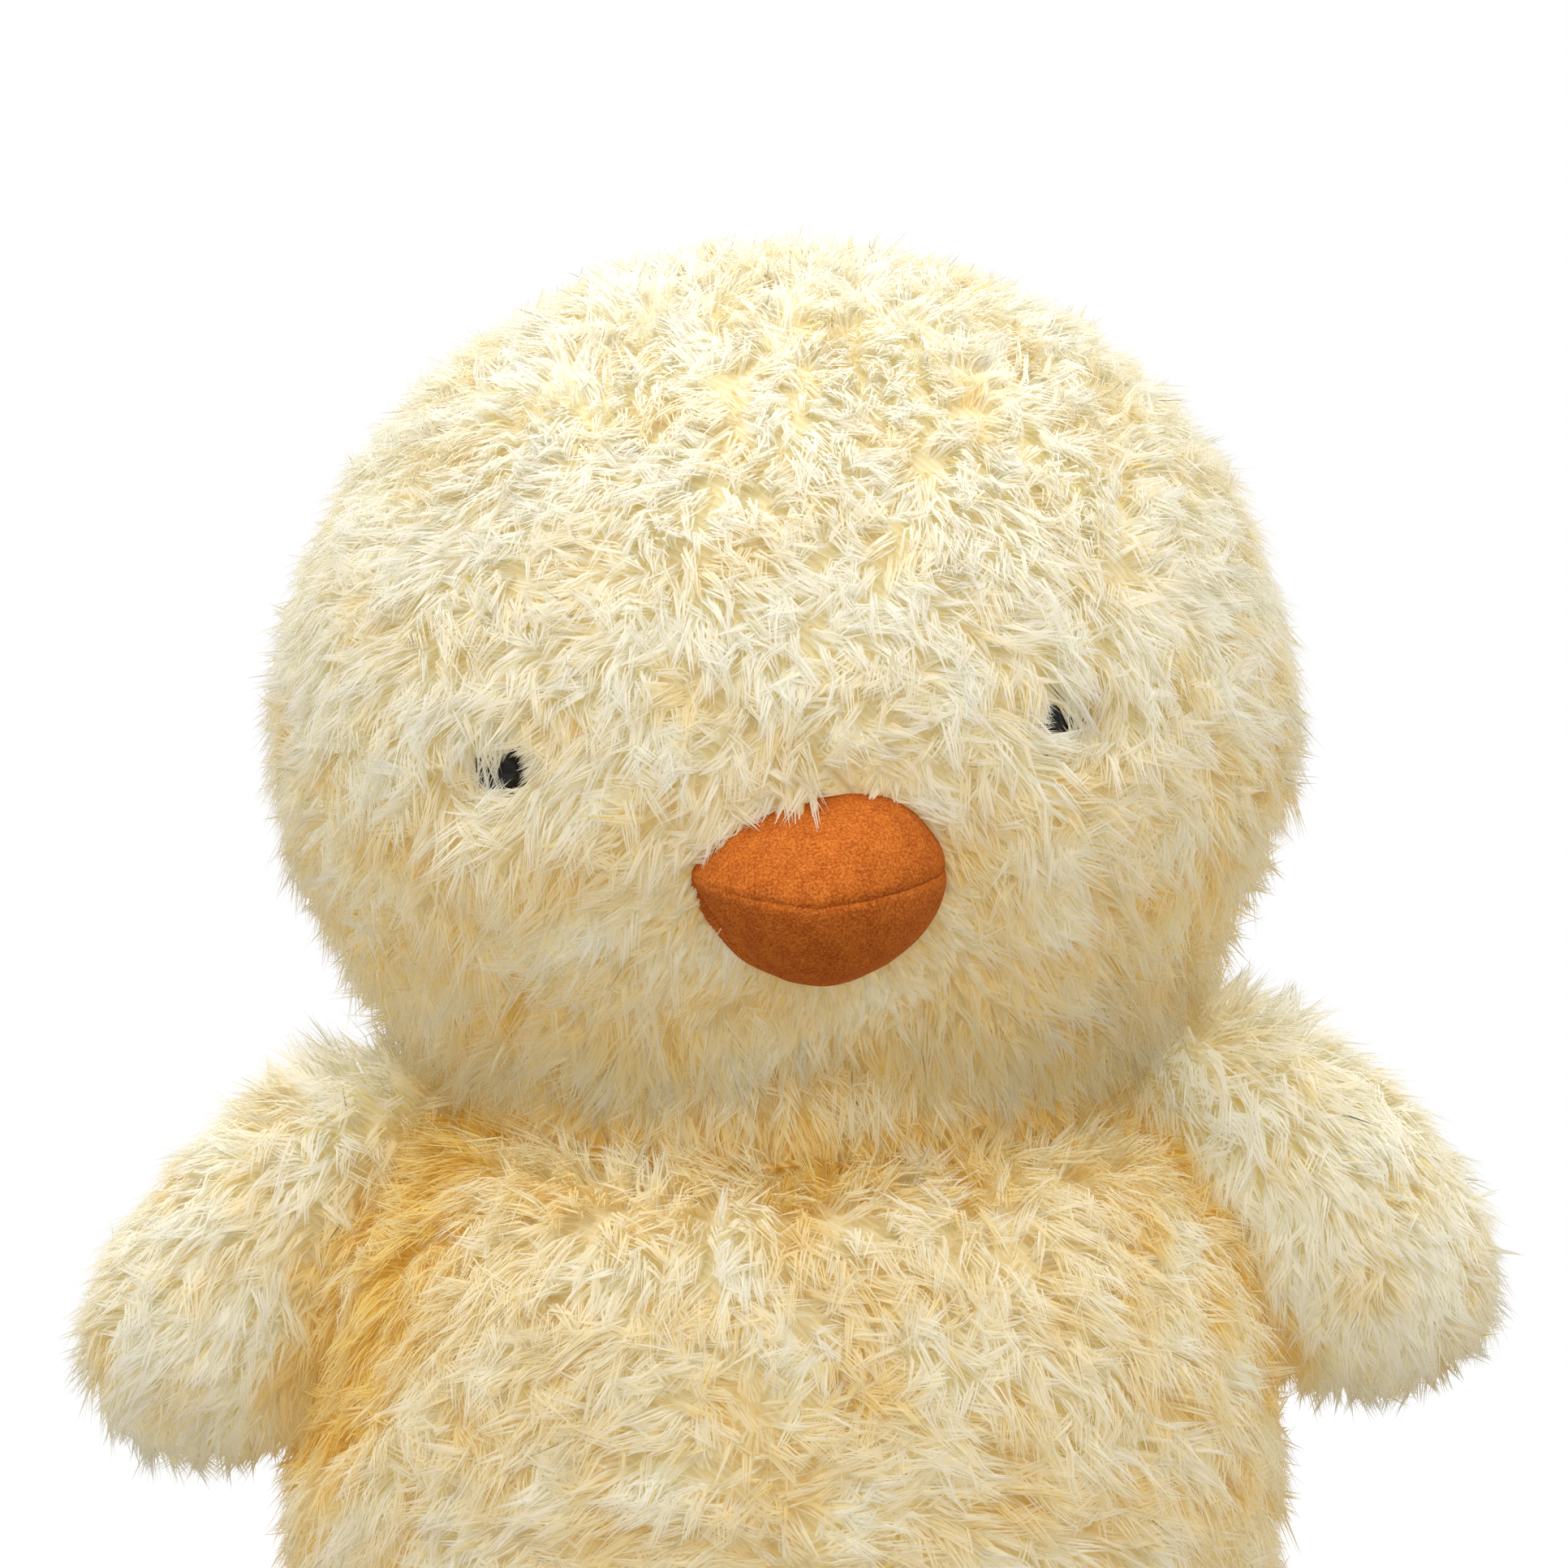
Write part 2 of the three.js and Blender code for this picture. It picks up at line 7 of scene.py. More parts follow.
import json
import logging
import math
from collections.abc import Callable, Sequence
from dataclasses import dataclass, field, fields
from enum import Enum

import bmesh
import bpy
import numpy as np
from mathutils import Matrix, Vector, noise


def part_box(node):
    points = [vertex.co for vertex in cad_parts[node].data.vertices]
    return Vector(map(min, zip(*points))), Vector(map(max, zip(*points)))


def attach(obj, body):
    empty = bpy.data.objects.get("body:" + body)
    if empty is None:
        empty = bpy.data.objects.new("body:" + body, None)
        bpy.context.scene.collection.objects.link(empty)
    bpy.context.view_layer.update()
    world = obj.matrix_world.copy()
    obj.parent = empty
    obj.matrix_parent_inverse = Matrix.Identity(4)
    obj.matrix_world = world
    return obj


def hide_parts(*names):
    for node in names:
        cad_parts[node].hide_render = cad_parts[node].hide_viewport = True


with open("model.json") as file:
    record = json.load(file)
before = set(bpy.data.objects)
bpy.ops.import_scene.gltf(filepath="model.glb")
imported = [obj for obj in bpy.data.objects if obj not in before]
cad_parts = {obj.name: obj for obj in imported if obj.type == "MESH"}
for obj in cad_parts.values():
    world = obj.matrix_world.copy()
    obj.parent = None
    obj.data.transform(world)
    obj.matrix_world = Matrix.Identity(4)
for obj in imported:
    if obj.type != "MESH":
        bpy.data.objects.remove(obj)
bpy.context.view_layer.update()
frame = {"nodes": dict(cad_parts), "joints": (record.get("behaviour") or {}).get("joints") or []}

log = logging.getLogger("plush_chick")

Points = np.ndarray
Band = tuple[float, float]  # where a change starts, and where it is full
Stop = tuple[float, str]  # a place on a ramp, and its hex colour
Profile = Sequence[tuple[float, float]]  # places in a plane, in millimetres
BMesh = bmesh.types.BMesh
Piece = bpy.types.Object
Chance = np.random.Generator
Tree = bpy.types.NodeTree
Socket = bpy.types.NodeSocket

MM = 0.001
TO_METRES = Matrix.Scale(MM, 4)
DOWN = np.array((0.0, 0.0, -1.0))
OUTWARDS = Vector((0, 0, 1))  # of a wing or the tail, in its own frame
SEED = 20
BAKE_MAP = "OFBake"
WAVE_PACE = 20  # radians that the wave texture turns in one unit
WHITE = (1.0, 1.0, 1.0, 1.0)


class Side(Enum):
    """The toy's own sides, with the sign that each has along X."""

    LEFT = 1
    RIGHT = -1

    @property
    def word(self) -> str:
        """The side's name, as the nodes and bodies have it."""
        return self.name.lower()


def linear(code: str) -> tuple[float, float, float, float]:
    """Turns an sRGB hex colour into linear red, green and blue, with an alpha of 1."""
    shares = [int(code[i : i + 2], 16) / 255 for i in (1, 3, 5)]
    red, green, blue = (s / 12.92 if s <= 0.04045 else ((s + 0.055) / 1.055) ** 2.4 for s in shares)
    return red, green, blue, 1.0


def add_node(
    tree: Tree, kind: str, inputs: dict | None = None, stops: Sequence[Stop] = (), **settings: object
) -> bpy.types.Node:
    """Adds a shader node with its settings, its inputs and, on a ramp, its stops.

    Args:
        tree: The material's node tree.
        kind: The node's type, after the words ShaderNode.
        inputs: Values, or sockets to link from, by input name or number.
        stops: Places and hex colours of a ramp.
        **settings: Properties of the node.

    Returns:
        The new node.
    """
    node = tree.nodes.new(f"ShaderNode{kind}")
    for name, value in settings.items():
        setattr(node, name, value)
    for key, value in (inputs or {}).items():
        if isinstance(value, Socket):
            tree.links.new(value, node.inputs[key])
        else:
            node.inputs[key].default_value = value
    for i, (place, code) in enumerate(stops):
        elements = node.color_ramp.elements
        element = elements[i] if i < len(elements) else elements.new(place)
        element.position = place
        element.color = linear(code)
    return node


def ramp(tree: Tree, share: Socket, *stops: Stop) -> Socket:
    """Dyes a share through a ramp of places and hex colours."""
    return add_node(tree, "ValToRGB", {"Fac": share}, stops).outputs["Color"]


def blend(tree: Tree, share: Socket | float, first: object, second: object) -> Socket:
    """Mixes two colours by the second one's share."""
    return add_node(tree, "Mix", {"Factor": share, 6: first, 7: second}, data_type="RGBA").outputs[2]


def figure(tree: Tree, operation: str, first: Socket, second: Socket, **settings: object) -> Socket:
    """Works out one value from two."""
    return add_node(tree, "Math", {0: first, 1: second}, operation=operation, **settings).outputs[0]


def mix_shaders(tree: Tree, share: Socket | float, first: bpy.types.Node, second: bpy.types.Node) -> Socket:
    """Mixes two shaders by the second one's share."""
    return add_node(tree, "MixShader", {"Fac": share, 1: first.outputs[0], 2: second.outputs[0]}).outputs[0]


def mottle(tree: Tree, size: float, **inputs: float) -> Socket:
    """Gives a random pattern on Object coordinates, with marks about a size in millimetres across."""
    place = add_node(tree, "TexCoord").outputs["Object"]
    return add_node(tree, "TexNoise", {"Vector": place, "Scale": 1 / (size * MM), **inputs}).outputs["Fac"]


def ribs(tree: Tree, pitch: float, way: str, **inputs: float) -> Socket:
    """Gives ribs across a way on Object coordinates, with a pitch in millimetres."""
    place = add_node(tree, "TexCoord").outputs["Object"]
    scale = math.tau / (WAVE_PACE * pitch * MM)
    wave = add_node(tree, "TexWave", {"Vector": place, "Scale": scale, **inputs}, bands_direction=way)
    return wave.outputs["Fac"]


def relief(tree: Tree, height: Socket, depth: float, strength: float) -> Socket:
    """Presses a pattern into a surface, to a depth in millimetres."""
    inputs = {"Height": height, "Distance": depth * MM, "Strength": strength}
    return add_node(tree, "Bump", inputs).outputs[0]


@dataclass(frozen=True)
class Finish:
    """A material, made once and then shared."""

    name: str
    slot: str = ""  # the record's material slot that the finish stands for

    def material(self) -> bpy.types.Material:
        """Gives the material, and makes it the first time."""
        found = bpy.data.materials.get(self.name)
        if found:
            return found
        made = bpy.data.materials.new(self.name)
        made.use_nodes = True
        # No finish is a lamp, so none is sampled as one, though the pile gives off a little painted light
        made.cycles.emission_sampling = "NONE"
        made.node_tree.nodes.clear()
        add_node(made.node_tree, "OutputMaterial", {"Surface": self.surface(made.node_tree)})
        return made

    def surface(self, tree: Tree) -> Socket:
        """Builds the shader in the material's empty node tree, and gives its surface."""
        raise NotImplementedError


@dataclass(frozen=True)
class LongPile(Finish):
    """Acrylic long-pile plush: soft dull fibre, golden at its root and nearly white at its tip."""

    name: str = "long_pile_plush"
    slot: str = "pale_yellow_plush"
    # Light passes through a tuft, which makes the pile glow at its edges
    glow: float = 0.33
    # Painted light: the fibre glows in its own colour, most at its root and hardly at its tip, standing in
    # for light that bounces among the fibres more times than are traced, and lifting the shade in the pile's
    # gaps
    scatter: float = 0.28
    scatter_at_tip: float = 0.02
    cream: Sequence[str] = ("#FDFAE4", "#FEFCEE", "#FFFEF6", "#FFFFFD")
    golden: Sequence[str] = ("#EEC650", "#F4D46C", "#F9E290", "#FDF0BE")

    def surface(self, tree: Tree) -> Socket:
        """Builds the fibre: U is the golden share of a tuft, from cream to golden, which is its dye and also
        painted shade in creases and low down, and V runs up the fibre.
        """
        place = add_node(tree, "UVMap", uv_map=BAKE_MAP).outputs["UV"]
        parts = add_node(tree, "SeparateXYZ", {0: place}).outputs
        cream, golden = (
            ramp(tree, parts["Y"], *zip((0.0, 0.3, 0.6, 1.0), codes)) for codes in (self.cream, self.golden)
        )
        dye = blend(tree, parts["X"], cream, golden)
        # Painted light: a cream or golden glow, strongest at the root and fading towards the tip
        painted_glow_level = add_node(
            tree, "MapRange", {"Value": parts["Y"], "To Min": self.scatter, "To Max": self.scatter_at_tip}
        )
        inputs = {
            "Base Color": dye,
            "Roughness": 0.75,
            "IOR": 1.49,
            "Specular IOR Level": 0.0,
            "Emission Color": blend(tree, parts["X"], linear("#F0E8C4"), linear("#EABE50")),
            "Emission Strength": painted_glow_level.outputs[0],
        }
        fibre = add_node(tree, "BsdfPrincipled", inputs)
        return mix_shaders(tree, self.glow, fibre, add_node(tree, "BsdfTranslucent", {"Color": dye}))


@dataclass(frozen=True)
class WoolFelt(Finish):
    """Needled wool felt: matted fibres that scatter light, mottled where the dye took unevenly."""

    name: str = "orange_wool_felt"
    slot: str = "orange_felt"
    fibre: float = 0.45  # mm across a tangle of fibres
    patch: float = 4.0  # mm across a lighter or darker patch
    patch_share: float = 0.35

    def surface(self, tree: Tree) -> Socket:
        """Builds the mottled dye and the tangled surface."""
        tangle = mottle(tree, self.fibre, Detail=3.0, Roughness=0.65)
        grain = ramp(tree, tangle, (0.36, "#A0460E"), (0.5, "#CB6C26"), (0.64, "#E89448"))
        cloud = ramp(tree, mottle(tree, self.patch, Detail=2.0), (0.35, "#A84C12"), (0.65, "#D67426"))
        inputs = {
            "Base Color": blend(tree, self.patch_share, grain, cloud),
            "Roughness": 0.95,
            "Specular IOR Level": 0.12,
            "Normal": relief(tree, tangle, 0.35, 0.8),
        }
        return add_node(tree, "BsdfPrincipled", inputs).outputs[0]


@dataclass(frozen=True)
class MouldedEye(Finish):
    """Injection-moulded black plastic, buffed to a gloss, with the faintest ripple of its mould."""

    name: str = "black_eye_plastic"
    slot: str = "black_eye"
    ripple: float = 3.0  # mm

    def surface(self, tree: Tree) -> Socket:
        """Builds the gloss and its ripple."""
        wave = mottle(tree, self.ripple)
        rub = add_node(tree, "MapRange", {"Value": wave, "To Min": 0.05, "To Max": 0.14})
        inputs = {
            "Base Color": ramp(tree, wave, (0.3, "#070605"), (0.8, "#100E0C")),
            "Roughness": rub.outputs[0],
            "IOR": 1.5,
            "Specular IOR Level": 0.35,
        }
        return add_node(tree, "BsdfPrincipled", inputs).outputs[0]


@dataclass(frozen=True)
class Patterned(Finish):
    """A surface whose dye, and relief where it has one, follow one pattern."""

    size: float = 1.0  # mm from mark to mark
    dark: Stop = (0.0, "#000000")  # the stops of its ramp
    light: Stop = (1.0, "#FFFFFF")
    roughness: float = 0.9
    depth: float = 0.0  # mm that its relief is deep
    strength: float = 0.0

    def pattern(self, tree: Tree) -> Socket:
        """Builds the pattern that the dye and the relief follow."""
        raise NotImplementedError

    def surface(self, tree: Tree) -> Socket:
        """Dyes the pattern and presses it in."""
        pattern = self.pattern(tree)
        inputs = {"Base Color": ramp(tree, pattern, self.dark, self.light), "Roughness": self.roughness}
        if self.depth:
            inputs["Normal"] = relief(tree, pattern, self.depth, self.strength)
        return add_node(tree, "BsdfPrincipled", inputs).outputs[0]


@dataclass(frozen=True)
class KnitBacking(Patterned):
    """Warp-knit polyester backing: fine ribs of loops, dyed darker than the pile that it holds."""

    name: str = "knit_backing"
    slot: str = "pale_yellow_plush"
    size: float = 1.2  # drawn coarser than the real 0.8 so that it shows
    dark: Stop = (0.0, "#F8E8B4")
    light: Stop = (1.0, "#FDF3D0")
    depth: float = 0.3
    strength: float = 0.6

    def pattern(self, tree: Tree) -> Socket:
        """Builds the ribs of the knit."""
        return ribs(tree, self.size, "DIAGONAL", Distortion=1.5, Detail=1.0)


@dataclass(frozen=True)
class PlainWeave(Patterned):
    """Plain-woven cotton: threads over and under each other, dull, with slubs."""

    name: str = "cotton_calico"
    slot: str = "base_cloth"
    size: float = 0.9  # drawn coarser than the real 0.5
    dark: Stop = (0.0, "#BFA362")
    light: Stop = (0.7, "#E6D096")
    depth: float = 0.2
    strength: float = 0.7

    def pattern(self, tree: Tree) -> Socket:
        """Builds warp and weft as crossed waves."""
        return figure(tree, "MULTIPLY", *(ribs(tree, self.size, way, Distortion=0.6) for way in "XY"))


@dataclass(frozen=True)
class PlyThread(Patterned):
    """Two-ply polyester sewing thread: its sheen along the twist is painted, as lighter and darker bands in
    its colour.
    """

    name: str = "golden_ply_thread"
    size: float = 1.4
    dark: Stop = (0.0, "#C9993A")
    light: Stop = (1.0, "#EFCF84")
    roughness: float = 0.55

    def pattern(self, tree: Tree) -> Socket:
        """Builds the twist as slanted bands, a painted sheen and shade on the plies."""
        return ribs(tree, self.size, "DIAGONAL")


@dataclass(frozen=True)
class MouldedNylon(Patterned):
    """Plain moulded plastic of a hidden fitting or pellet: milky, with a faint flow pattern."""

    name: str = "milky_nylon"
    size: float = 2.0
    dark: Stop = (0.3, "#D8D6CC")
    light: Stop = (0.7, "#EEECE4")
    roughness: float = 0.45

    def pattern(self, tree: Tree) -> Socket:
        """Builds the flow marks."""
        return mottle(tree, self.size)


PILE = LongPile()
KNIT = KnitBacking()
FELT = WoolFelt()
EYE_PLASTIC = MouldedEye()
CALICO = PlainWeave()
NYLON = MouldedNylon()
# The CAD nodes that stay as they are, under finishes of their own
KEPT_NODES = {
    "pellet_bag": PlainWeave("pouch_muslin", size=1.1, dark=(0.0, "#CFC09A"), light=(0.7, "#EFE6CC")),
    "pellet_fill": MouldedNylon("pellet_plastic", size=3.0, dark=(0.3, "#C9C9C2"), light=(0.7, "#E2E2DC")),
    "neck_thread": PlyThread(),
    "left_eye_washer": NYLON,
    "right_eye_washer": NYLON,
}


def linked(name: str, data: bpy.types.ID) -> Piece:
    """Puts data into the scene as an object."""
    made = bpy.data.objects.new(name, data)
    bpy.context.scene.collection.objects.link(made)
    return made


def ridden(name: str, data: bpy.types.Mesh, finish: Finish, body: str) -> Piece:
    """Makes a mesh a piece of the toy, with its finish and the body that it rides on."""
    data.materials.append(finish.material())
    piece = linked(name, data)
    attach(piece, body)
    return piece


def finished(
    name: str,
    mesh: BMesh,
    finish: Finish,
    body: str,
    stands_for: Sequence[str],
    fill: float = 0.0,
    smooth: bool = True,
) -> Piece:
    """Turns a bmesh into a piece of the toy and frees it.

    Args:
        name: The piece's name.
        mesh: Its shape, in the frame's metres.
        finish: Its material.
        body: The body it rides on.
        stands_for: The CAD nodes that it takes the place of.
        fill: How full its stuffing makes it, or 0 if it isn't padded; not used.
        smooth: Whether its faces are shaded smooth.

    Returns:
        The piece.
    """
    bmesh.ops.recalc_face_normals(mesh, faces=mesh.faces[:])
    data = bpy.data.meshes.new(name)
    mesh.to_mesh(data)
    mesh.free()
    if smooth:
        data.shade_smooth()
    piece = ridden(name, data, finish, body)
    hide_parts(*stands_for)
    log.info("%s: %d faces", name, len(data.polygons))
    return piece


def turned_mesh(profile: Profile, steps: int) -> BMesh:
    """Turns a profile round Z into a closed form.

    Args:
        profile: Radius and height of each point, from the axis to the axis, upwards.
        steps: How many steps the full turn has.

    Returns:
        The closed form.
    """
    mesh = bmesh.new()
    points = [mesh.verts.new((radius, 0, height)) for radius, height in profile]
    geom = points + [mesh.edges.new(pair) for pair in zip(points, points[1:])]
    bmesh.ops.spin(
        mesh, geom=geom, cent=(0, 0, 0), axis=(0, 0, 1), angle=math.tau, steps=steps, use_merge=True
    )
    bmesh.ops.remove_doubles(mesh, verts=mesh.verts[:], dist=1e-6)
    bmesh.ops.recalc_face_normals(mesh, faces=mesh.faces[:])
    return mesh


def placed(mesh: BMesh, mould: Callable[[Vector], Vector], place: Matrix) -> BMesh:
    """Moulds a form point by point, in its own millimetres, and puts it in its place."""
    for vert in mesh.verts:
        vert.co = mould(vert.co)
    bmesh.ops.transform(mesh, matrix=place @ TO_METRES, verts=mesh.verts[:])
    return mesh


def rounded(mesh: BMesh, turn: float, offset: float, **settings: int) -> None:
    """Rounds the edges that turn by more than some degrees."""
    rims = [e for e in mesh.edges if e.is_manifold and e.calc_face_angle() > math.radians(turn)]
    bmesh.ops.bevel(mesh, geom=rims, offset=offset, profile=0.5, affect="EDGES", material=-1, **settings)


def smoothstep(value: float | Points, low: float, high: float) -> float | Points:
    """Rises smoothly from 0 at low to 1 at high, and falls if low is above high."""
    share = np.clip((value - low) / (high - low), 0, 1)
    return share * share * (3 - 2 * share)


def unit(vectors: Points) -> Points:
    """Scales each row to a length of 1."""
    return vectors / np.maximum(np.linalg.norm(vectors, axis=1, keepdims=True), 1e-9)


def along_surface(vectors: Points, normals: Points) -> Points:
    """Takes out of each row what points along its normal."""
    return vectors - normals * np.sum(vectors * normals, axis=1, keepdims=True)


def moved(points: Points, place: Matrix) -> Points:
    """Applies a matrix to each row."""
    return points @ np.array(place.to_3x3()).T + np.array(place.translation)


def seen_from(points: Points, place: Matrix) -> Points:
    """Gives rows of metres in a form's own millimetres."""
    return moved(points, place.inverted()) / MM


def gap_to(points: Points, middle: Vector) -> Points:
    """Measures the millimetres from each row to a point."""
    return np.linalg.norm(points - np.array(middle), axis=1) / MM


def from_line(across: Points, up: Points, line: Profile) -> Points:
    """Measures how far places are from a line of straight lengths.

    Args:
        across: How far each place is towards +X.
        up: How high each place is.
        line: The line's corners, as places.

    Returns:
        The distance of each place.
    """
    place = np.stack((across, up), axis=-1)
    gaps = []
    for start, end in zip(map(np.array, line), map(np.array, line[1:])):
        share = np.clip((place - start) @ (end - start) / np.sum((end - start) ** 2), 0, 1)
        gaps.append(np.linalg.norm(place - start - share[..., None] * (end - start), axis=-1))
    return np.min(gaps, axis=0)


def joint_place(name: str) -> Vector:
    """Gives the point of a joint's axis, in metres."""
    return Vector(next(joint for joint in frame["joints"] if joint["name"] == name)["pos_m"])


@dataclass
class StuffedForm:
    """A stuffed form round Z, 0 at its widest: a plain lower half and a squarer upper one.

    The sizes are halves, in millimetres.
    """

    width: float
    depth: float
    below: float
    above: float
    foot: float = 0.0
    squareness: float = 2.0
    place: Matrix = field(default_factory=Matrix)
    rings: int = 32
    steps: int = 128
    lumps: float = 0.6  # mm that the stuffing makes it uneven
    lump_size: float = 22.0  # mm across a lump
    bed: float = 3.5  # mm of matted fibre at the foot of the pile
    sewn: float = 0.0  # mm from the lower end over which the seam presses the bed flat

    def profile(self) -> Profile:
        """Lists radius and height from the middle of the foot to the crown, in millimetres."""
        points = [(0.0, -self.below)] if self.foot else []
        for i in range(self.rings + 1):
            turn = i / self.rings * math.pi / 2
            radius = self.foot + (self.width - self.foot) * math.sin(turn)
            points.append((radius, -self.below * math.cos(turn)))
        for i in range(1, self.rings):
            turn = (i / self.rings) ** (self.squareness / 2) * math.pi / 2
            height = self.above * math.sin(turn) ** (2 / self.squareness)
            points.append((self.width * math.cos(turn), height))
        return [*points, (0.0, self.above)]

    def mould(self, point: Vector) -> Vector:
        """Moves a point of the round form, in the form's own millimetres, to where it lies."""
        return Vector((point.x, point.y * self.depth / self.width, point.z))

    def unmould(self, points: Points) -> Points:
        """Moves points from where they lie back on to the round form."""
        return points * np.array((1, self.width / self.depth, 1))

    def fullness(self, point: Vector) -> float:
        """Says how much of the bed and of the stuffing's lumps a point of the form has, from 0 to 1."""
        return min((point.z + self.below) / self.sewn, 1.0) if self.sewn else 1.0

    def skin_mesh(self) -> BMesh:
        """Builds the closed skin, in the frame's metres, matted and uneven as stuffing makes it."""
        mesh = turned_mesh(self.profile(), self.steps)
        for vert in mesh.verts:
            vert.co = self.mould(vert.co)
        mesh.normal_update()
        grown = []
        for vert in mesh.verts:
            swell = self.bed + self.lumps * noise.noise(vert.co / self.lump_size)
            grown.append(vert.co + vert.normal * swell * self.fullness(vert.co))
        for vert, at in zip(mesh.verts, grown):
            vert.co = at
        bmesh.ops.transform(mesh, matrix=self.place @ TO_METRES, verts=mesh.verts[:])
        return mesh

    def skin(self, name: str, body: str, stands_for: Sequence[str], fill: float) -> Piece:
        """Makes the skin a piece in place of its cover and filling."""
        return finished(name, self.skin_mesh(), KNIT, body, stands_for, fill)

    def level(self, points: Points, grow: float = 0.0) -> Points:
        """Says how far out points are: under 1 is inside the form, grown by a distance.

        Args:
            points: Rows in the frame's metres.
            grow: Millimetres that the form is grown by.

        Returns:
            One number a row, 1 on the surface.
        """
        local = self.unmould(seen_from(points, self.place))
        radius, height = np.hypot(local[:, 0], local[:, 1]), np.abs(local[:, 2])
        up = (radius / (self.width + grow)) ** 2 + (height / (self.above + grow)) ** self.squareness
        across = np.maximum(radius - self.foot, 0) / (self.width + grow - self.foot)
        low = across**2 + (height / (self.below + grow)) ** 2
        return np.where(local[:, 2] > 0, up, low)


NECK = joint_place("head_turn")
NECK_RADIUS = 54.0  # mm, of the ball of stuffing that the neck bends over


@dataclass
class BodyForm(StuffedForm):
    """The body: oval at the belly, round at the neck, with a bowl at the top for the neck ball."""

    width: float = 80.5
    depth: float = 69.0
    below: float = 52.0
    above: float = 104.0
    foot: float = 52.0
    squareness: float = 5.0
    lean: float = 5.0  # mm that the belly comes forward
    # Where the right wing's seam draws the chest in, across and above the widest ring
    tuck: Profile = ((-52, 104), (-60, 80), (-67, 60), (-80, 40))
    tuck_reach: Band = (13, 2)  # mm from that line
    foot_bare: Band = (0.5, 9)  # mm above the flat foot where the bed grows
    seam_bare: Band = (9, 20)  # mm from the neck seam where it grows
    place: Matrix = field(default_factory=lambda: Matrix.Translation((0, 0, 52 * MM)))
    rings: int = 48
    steps: int = 160
    bowl_steps: int = 12

    @property
    def neck_height(self) -> float:
        """The neck ball's middle above the widest ring."""
        return NECK.z / MM - self.below

    def in_bowl(self, point: Vector) -> bool:
        """Says whether a point is part of the bowl."""
        return (point - Vector((0, 0, self.neck_height))).length < NECK_RADIUS + 0.1

    def profile(self) -> Profile:
        """Lists the outside up to the neck ball, and then the bowl down to its middle."""
        points = []
        for radius, height in super().profile():
            if height > 0 and math.hypot(radius, height - self.neck_height) < NECK_RADIUS:
                break
            points.append((radius, height))
        radius, height = points[-1]
        start = math.atan2(height - self.neck_height, radius)
        for i in range(1, self.bowl_steps + 1):
            turn = start + (-math.pi / 2 - start) * i / self.bowl_steps
            radius = NECK_RADIUS * max(math.cos(turn), 0)
            points.append((radius, self.neck_height + NECK_RADIUS * math.sin(turn)))
        return points

    def roundness(self, height: float | Points) -> float | Points:
        """Says how much deeper than the belly's oval the body is at a height above its widest ring."""
        return 1 + (self.width / self.depth - 1) * np.clip(height / self.above, 0, 1) ** 3

    def forward(self, height: float | Points) -> float | Points:
        """Says how far forward the body's middle is at a height above its widest ring."""
        share = np.clip((height + self.below) / (self.below + self.above), 0, 1)
        return -self.lean * np.sin(math.pi * share) ** 2

    def mould(self, point: Vector) -> Vector:
        """Makes the form oval and leans it, and leaves the bowl round."""
        if self.in_bowl(point):
            return point.copy()
        oval = point.y * self.depth / self.width * self.roundness(point.z)
        return Vector((point.x, oval + self.forward(point.z), point.z))

    def drawn_in(self, points: Points) -> Points:
        """Says how much of the chest's tuck is at points in the form's own millimetres, from 0 to 1."""
        gap = from_line(points[..., 0], points[..., 2], self.tuck)
        return smoothstep(gap, *self.tuck_reach) * (points[..., 1] < 0)

    def fullness(self, point: Vector) -> float:
        """Leaves the flat foot, the bowl and the neck seam bare, and the tuck shallow."""
        if self.in_bowl(point):
            return 0.0
        from_seam = math.hypot(math.hypot(point.x, point.y) - NECK_RADIUS, point.z - self.neck_height)
        full = smoothstep(point.z + self.below, *self.foot_bare) * smoothstep(from_seam, *self.seam_bare)
        return float(full * (1 - self.drawn_in(np.array(point))))

    def unmould(self, points: Points) -> Points:
        """Stands the form up and makes it round again."""
        height = points[:, 2]
        oval = (points[:, 1] - self.forward(height)) / self.roundness(height)
        return np.column_stack((points[:, 0], oval * self.width / self.depth, height))


HEAD_WIDTH, HEAD_DEPTH, HEAD_BELOW, HEAD_ABOVE = 82.0, 73.0, 66.0, 77.0  # mm from its middle
EYE_SPREAD, EYE_LIFT = 46.5, 4.0  # mm from the middle of the face, and above its widest ring
HEAD_RISE = 62.0  # mm from the neck's middle to the head's widest ring
HEAD_TILT = math.radians(5.3)  # the toy's left cheek up
HEAD_PLACE = Matrix.Translation(NECK + Vector((0, 0, HEAD_RISE * MM))) @ Matrix.Rotation(-HEAD_TILT, 4, "Y")


def face_place(across: float, up: float) -> tuple[Vector, Vector]:
    """Finds a place on the face.

    Args:
        across: Millimetres towards +X from the head's middle.
        up: Millimetres above the head's widest ring.

    Returns:
        The point in the head's own millimetres, and the way the face looks there.
    """
    high = HEAD_ABOVE if up > 0 else HEAD_BELOW
    out = -HEAD_DEPTH * math.sqrt(1 - (across / HEAD_WIDTH) ** 2 - (up / high) ** 2)
    way = Vector((across / HEAD_WIDTH**2, out / HEAD_DEPTH**2, up / high**2))
    return Vector((across, out, up)), way.normalized()


def eye_place(side: Side) -> tuple[Vector, Vector]:
    """Finds an eye's place on the face, as face_place gives it."""
    return face_place(side.value * EYE_SPREAD, EYE_LIFT)


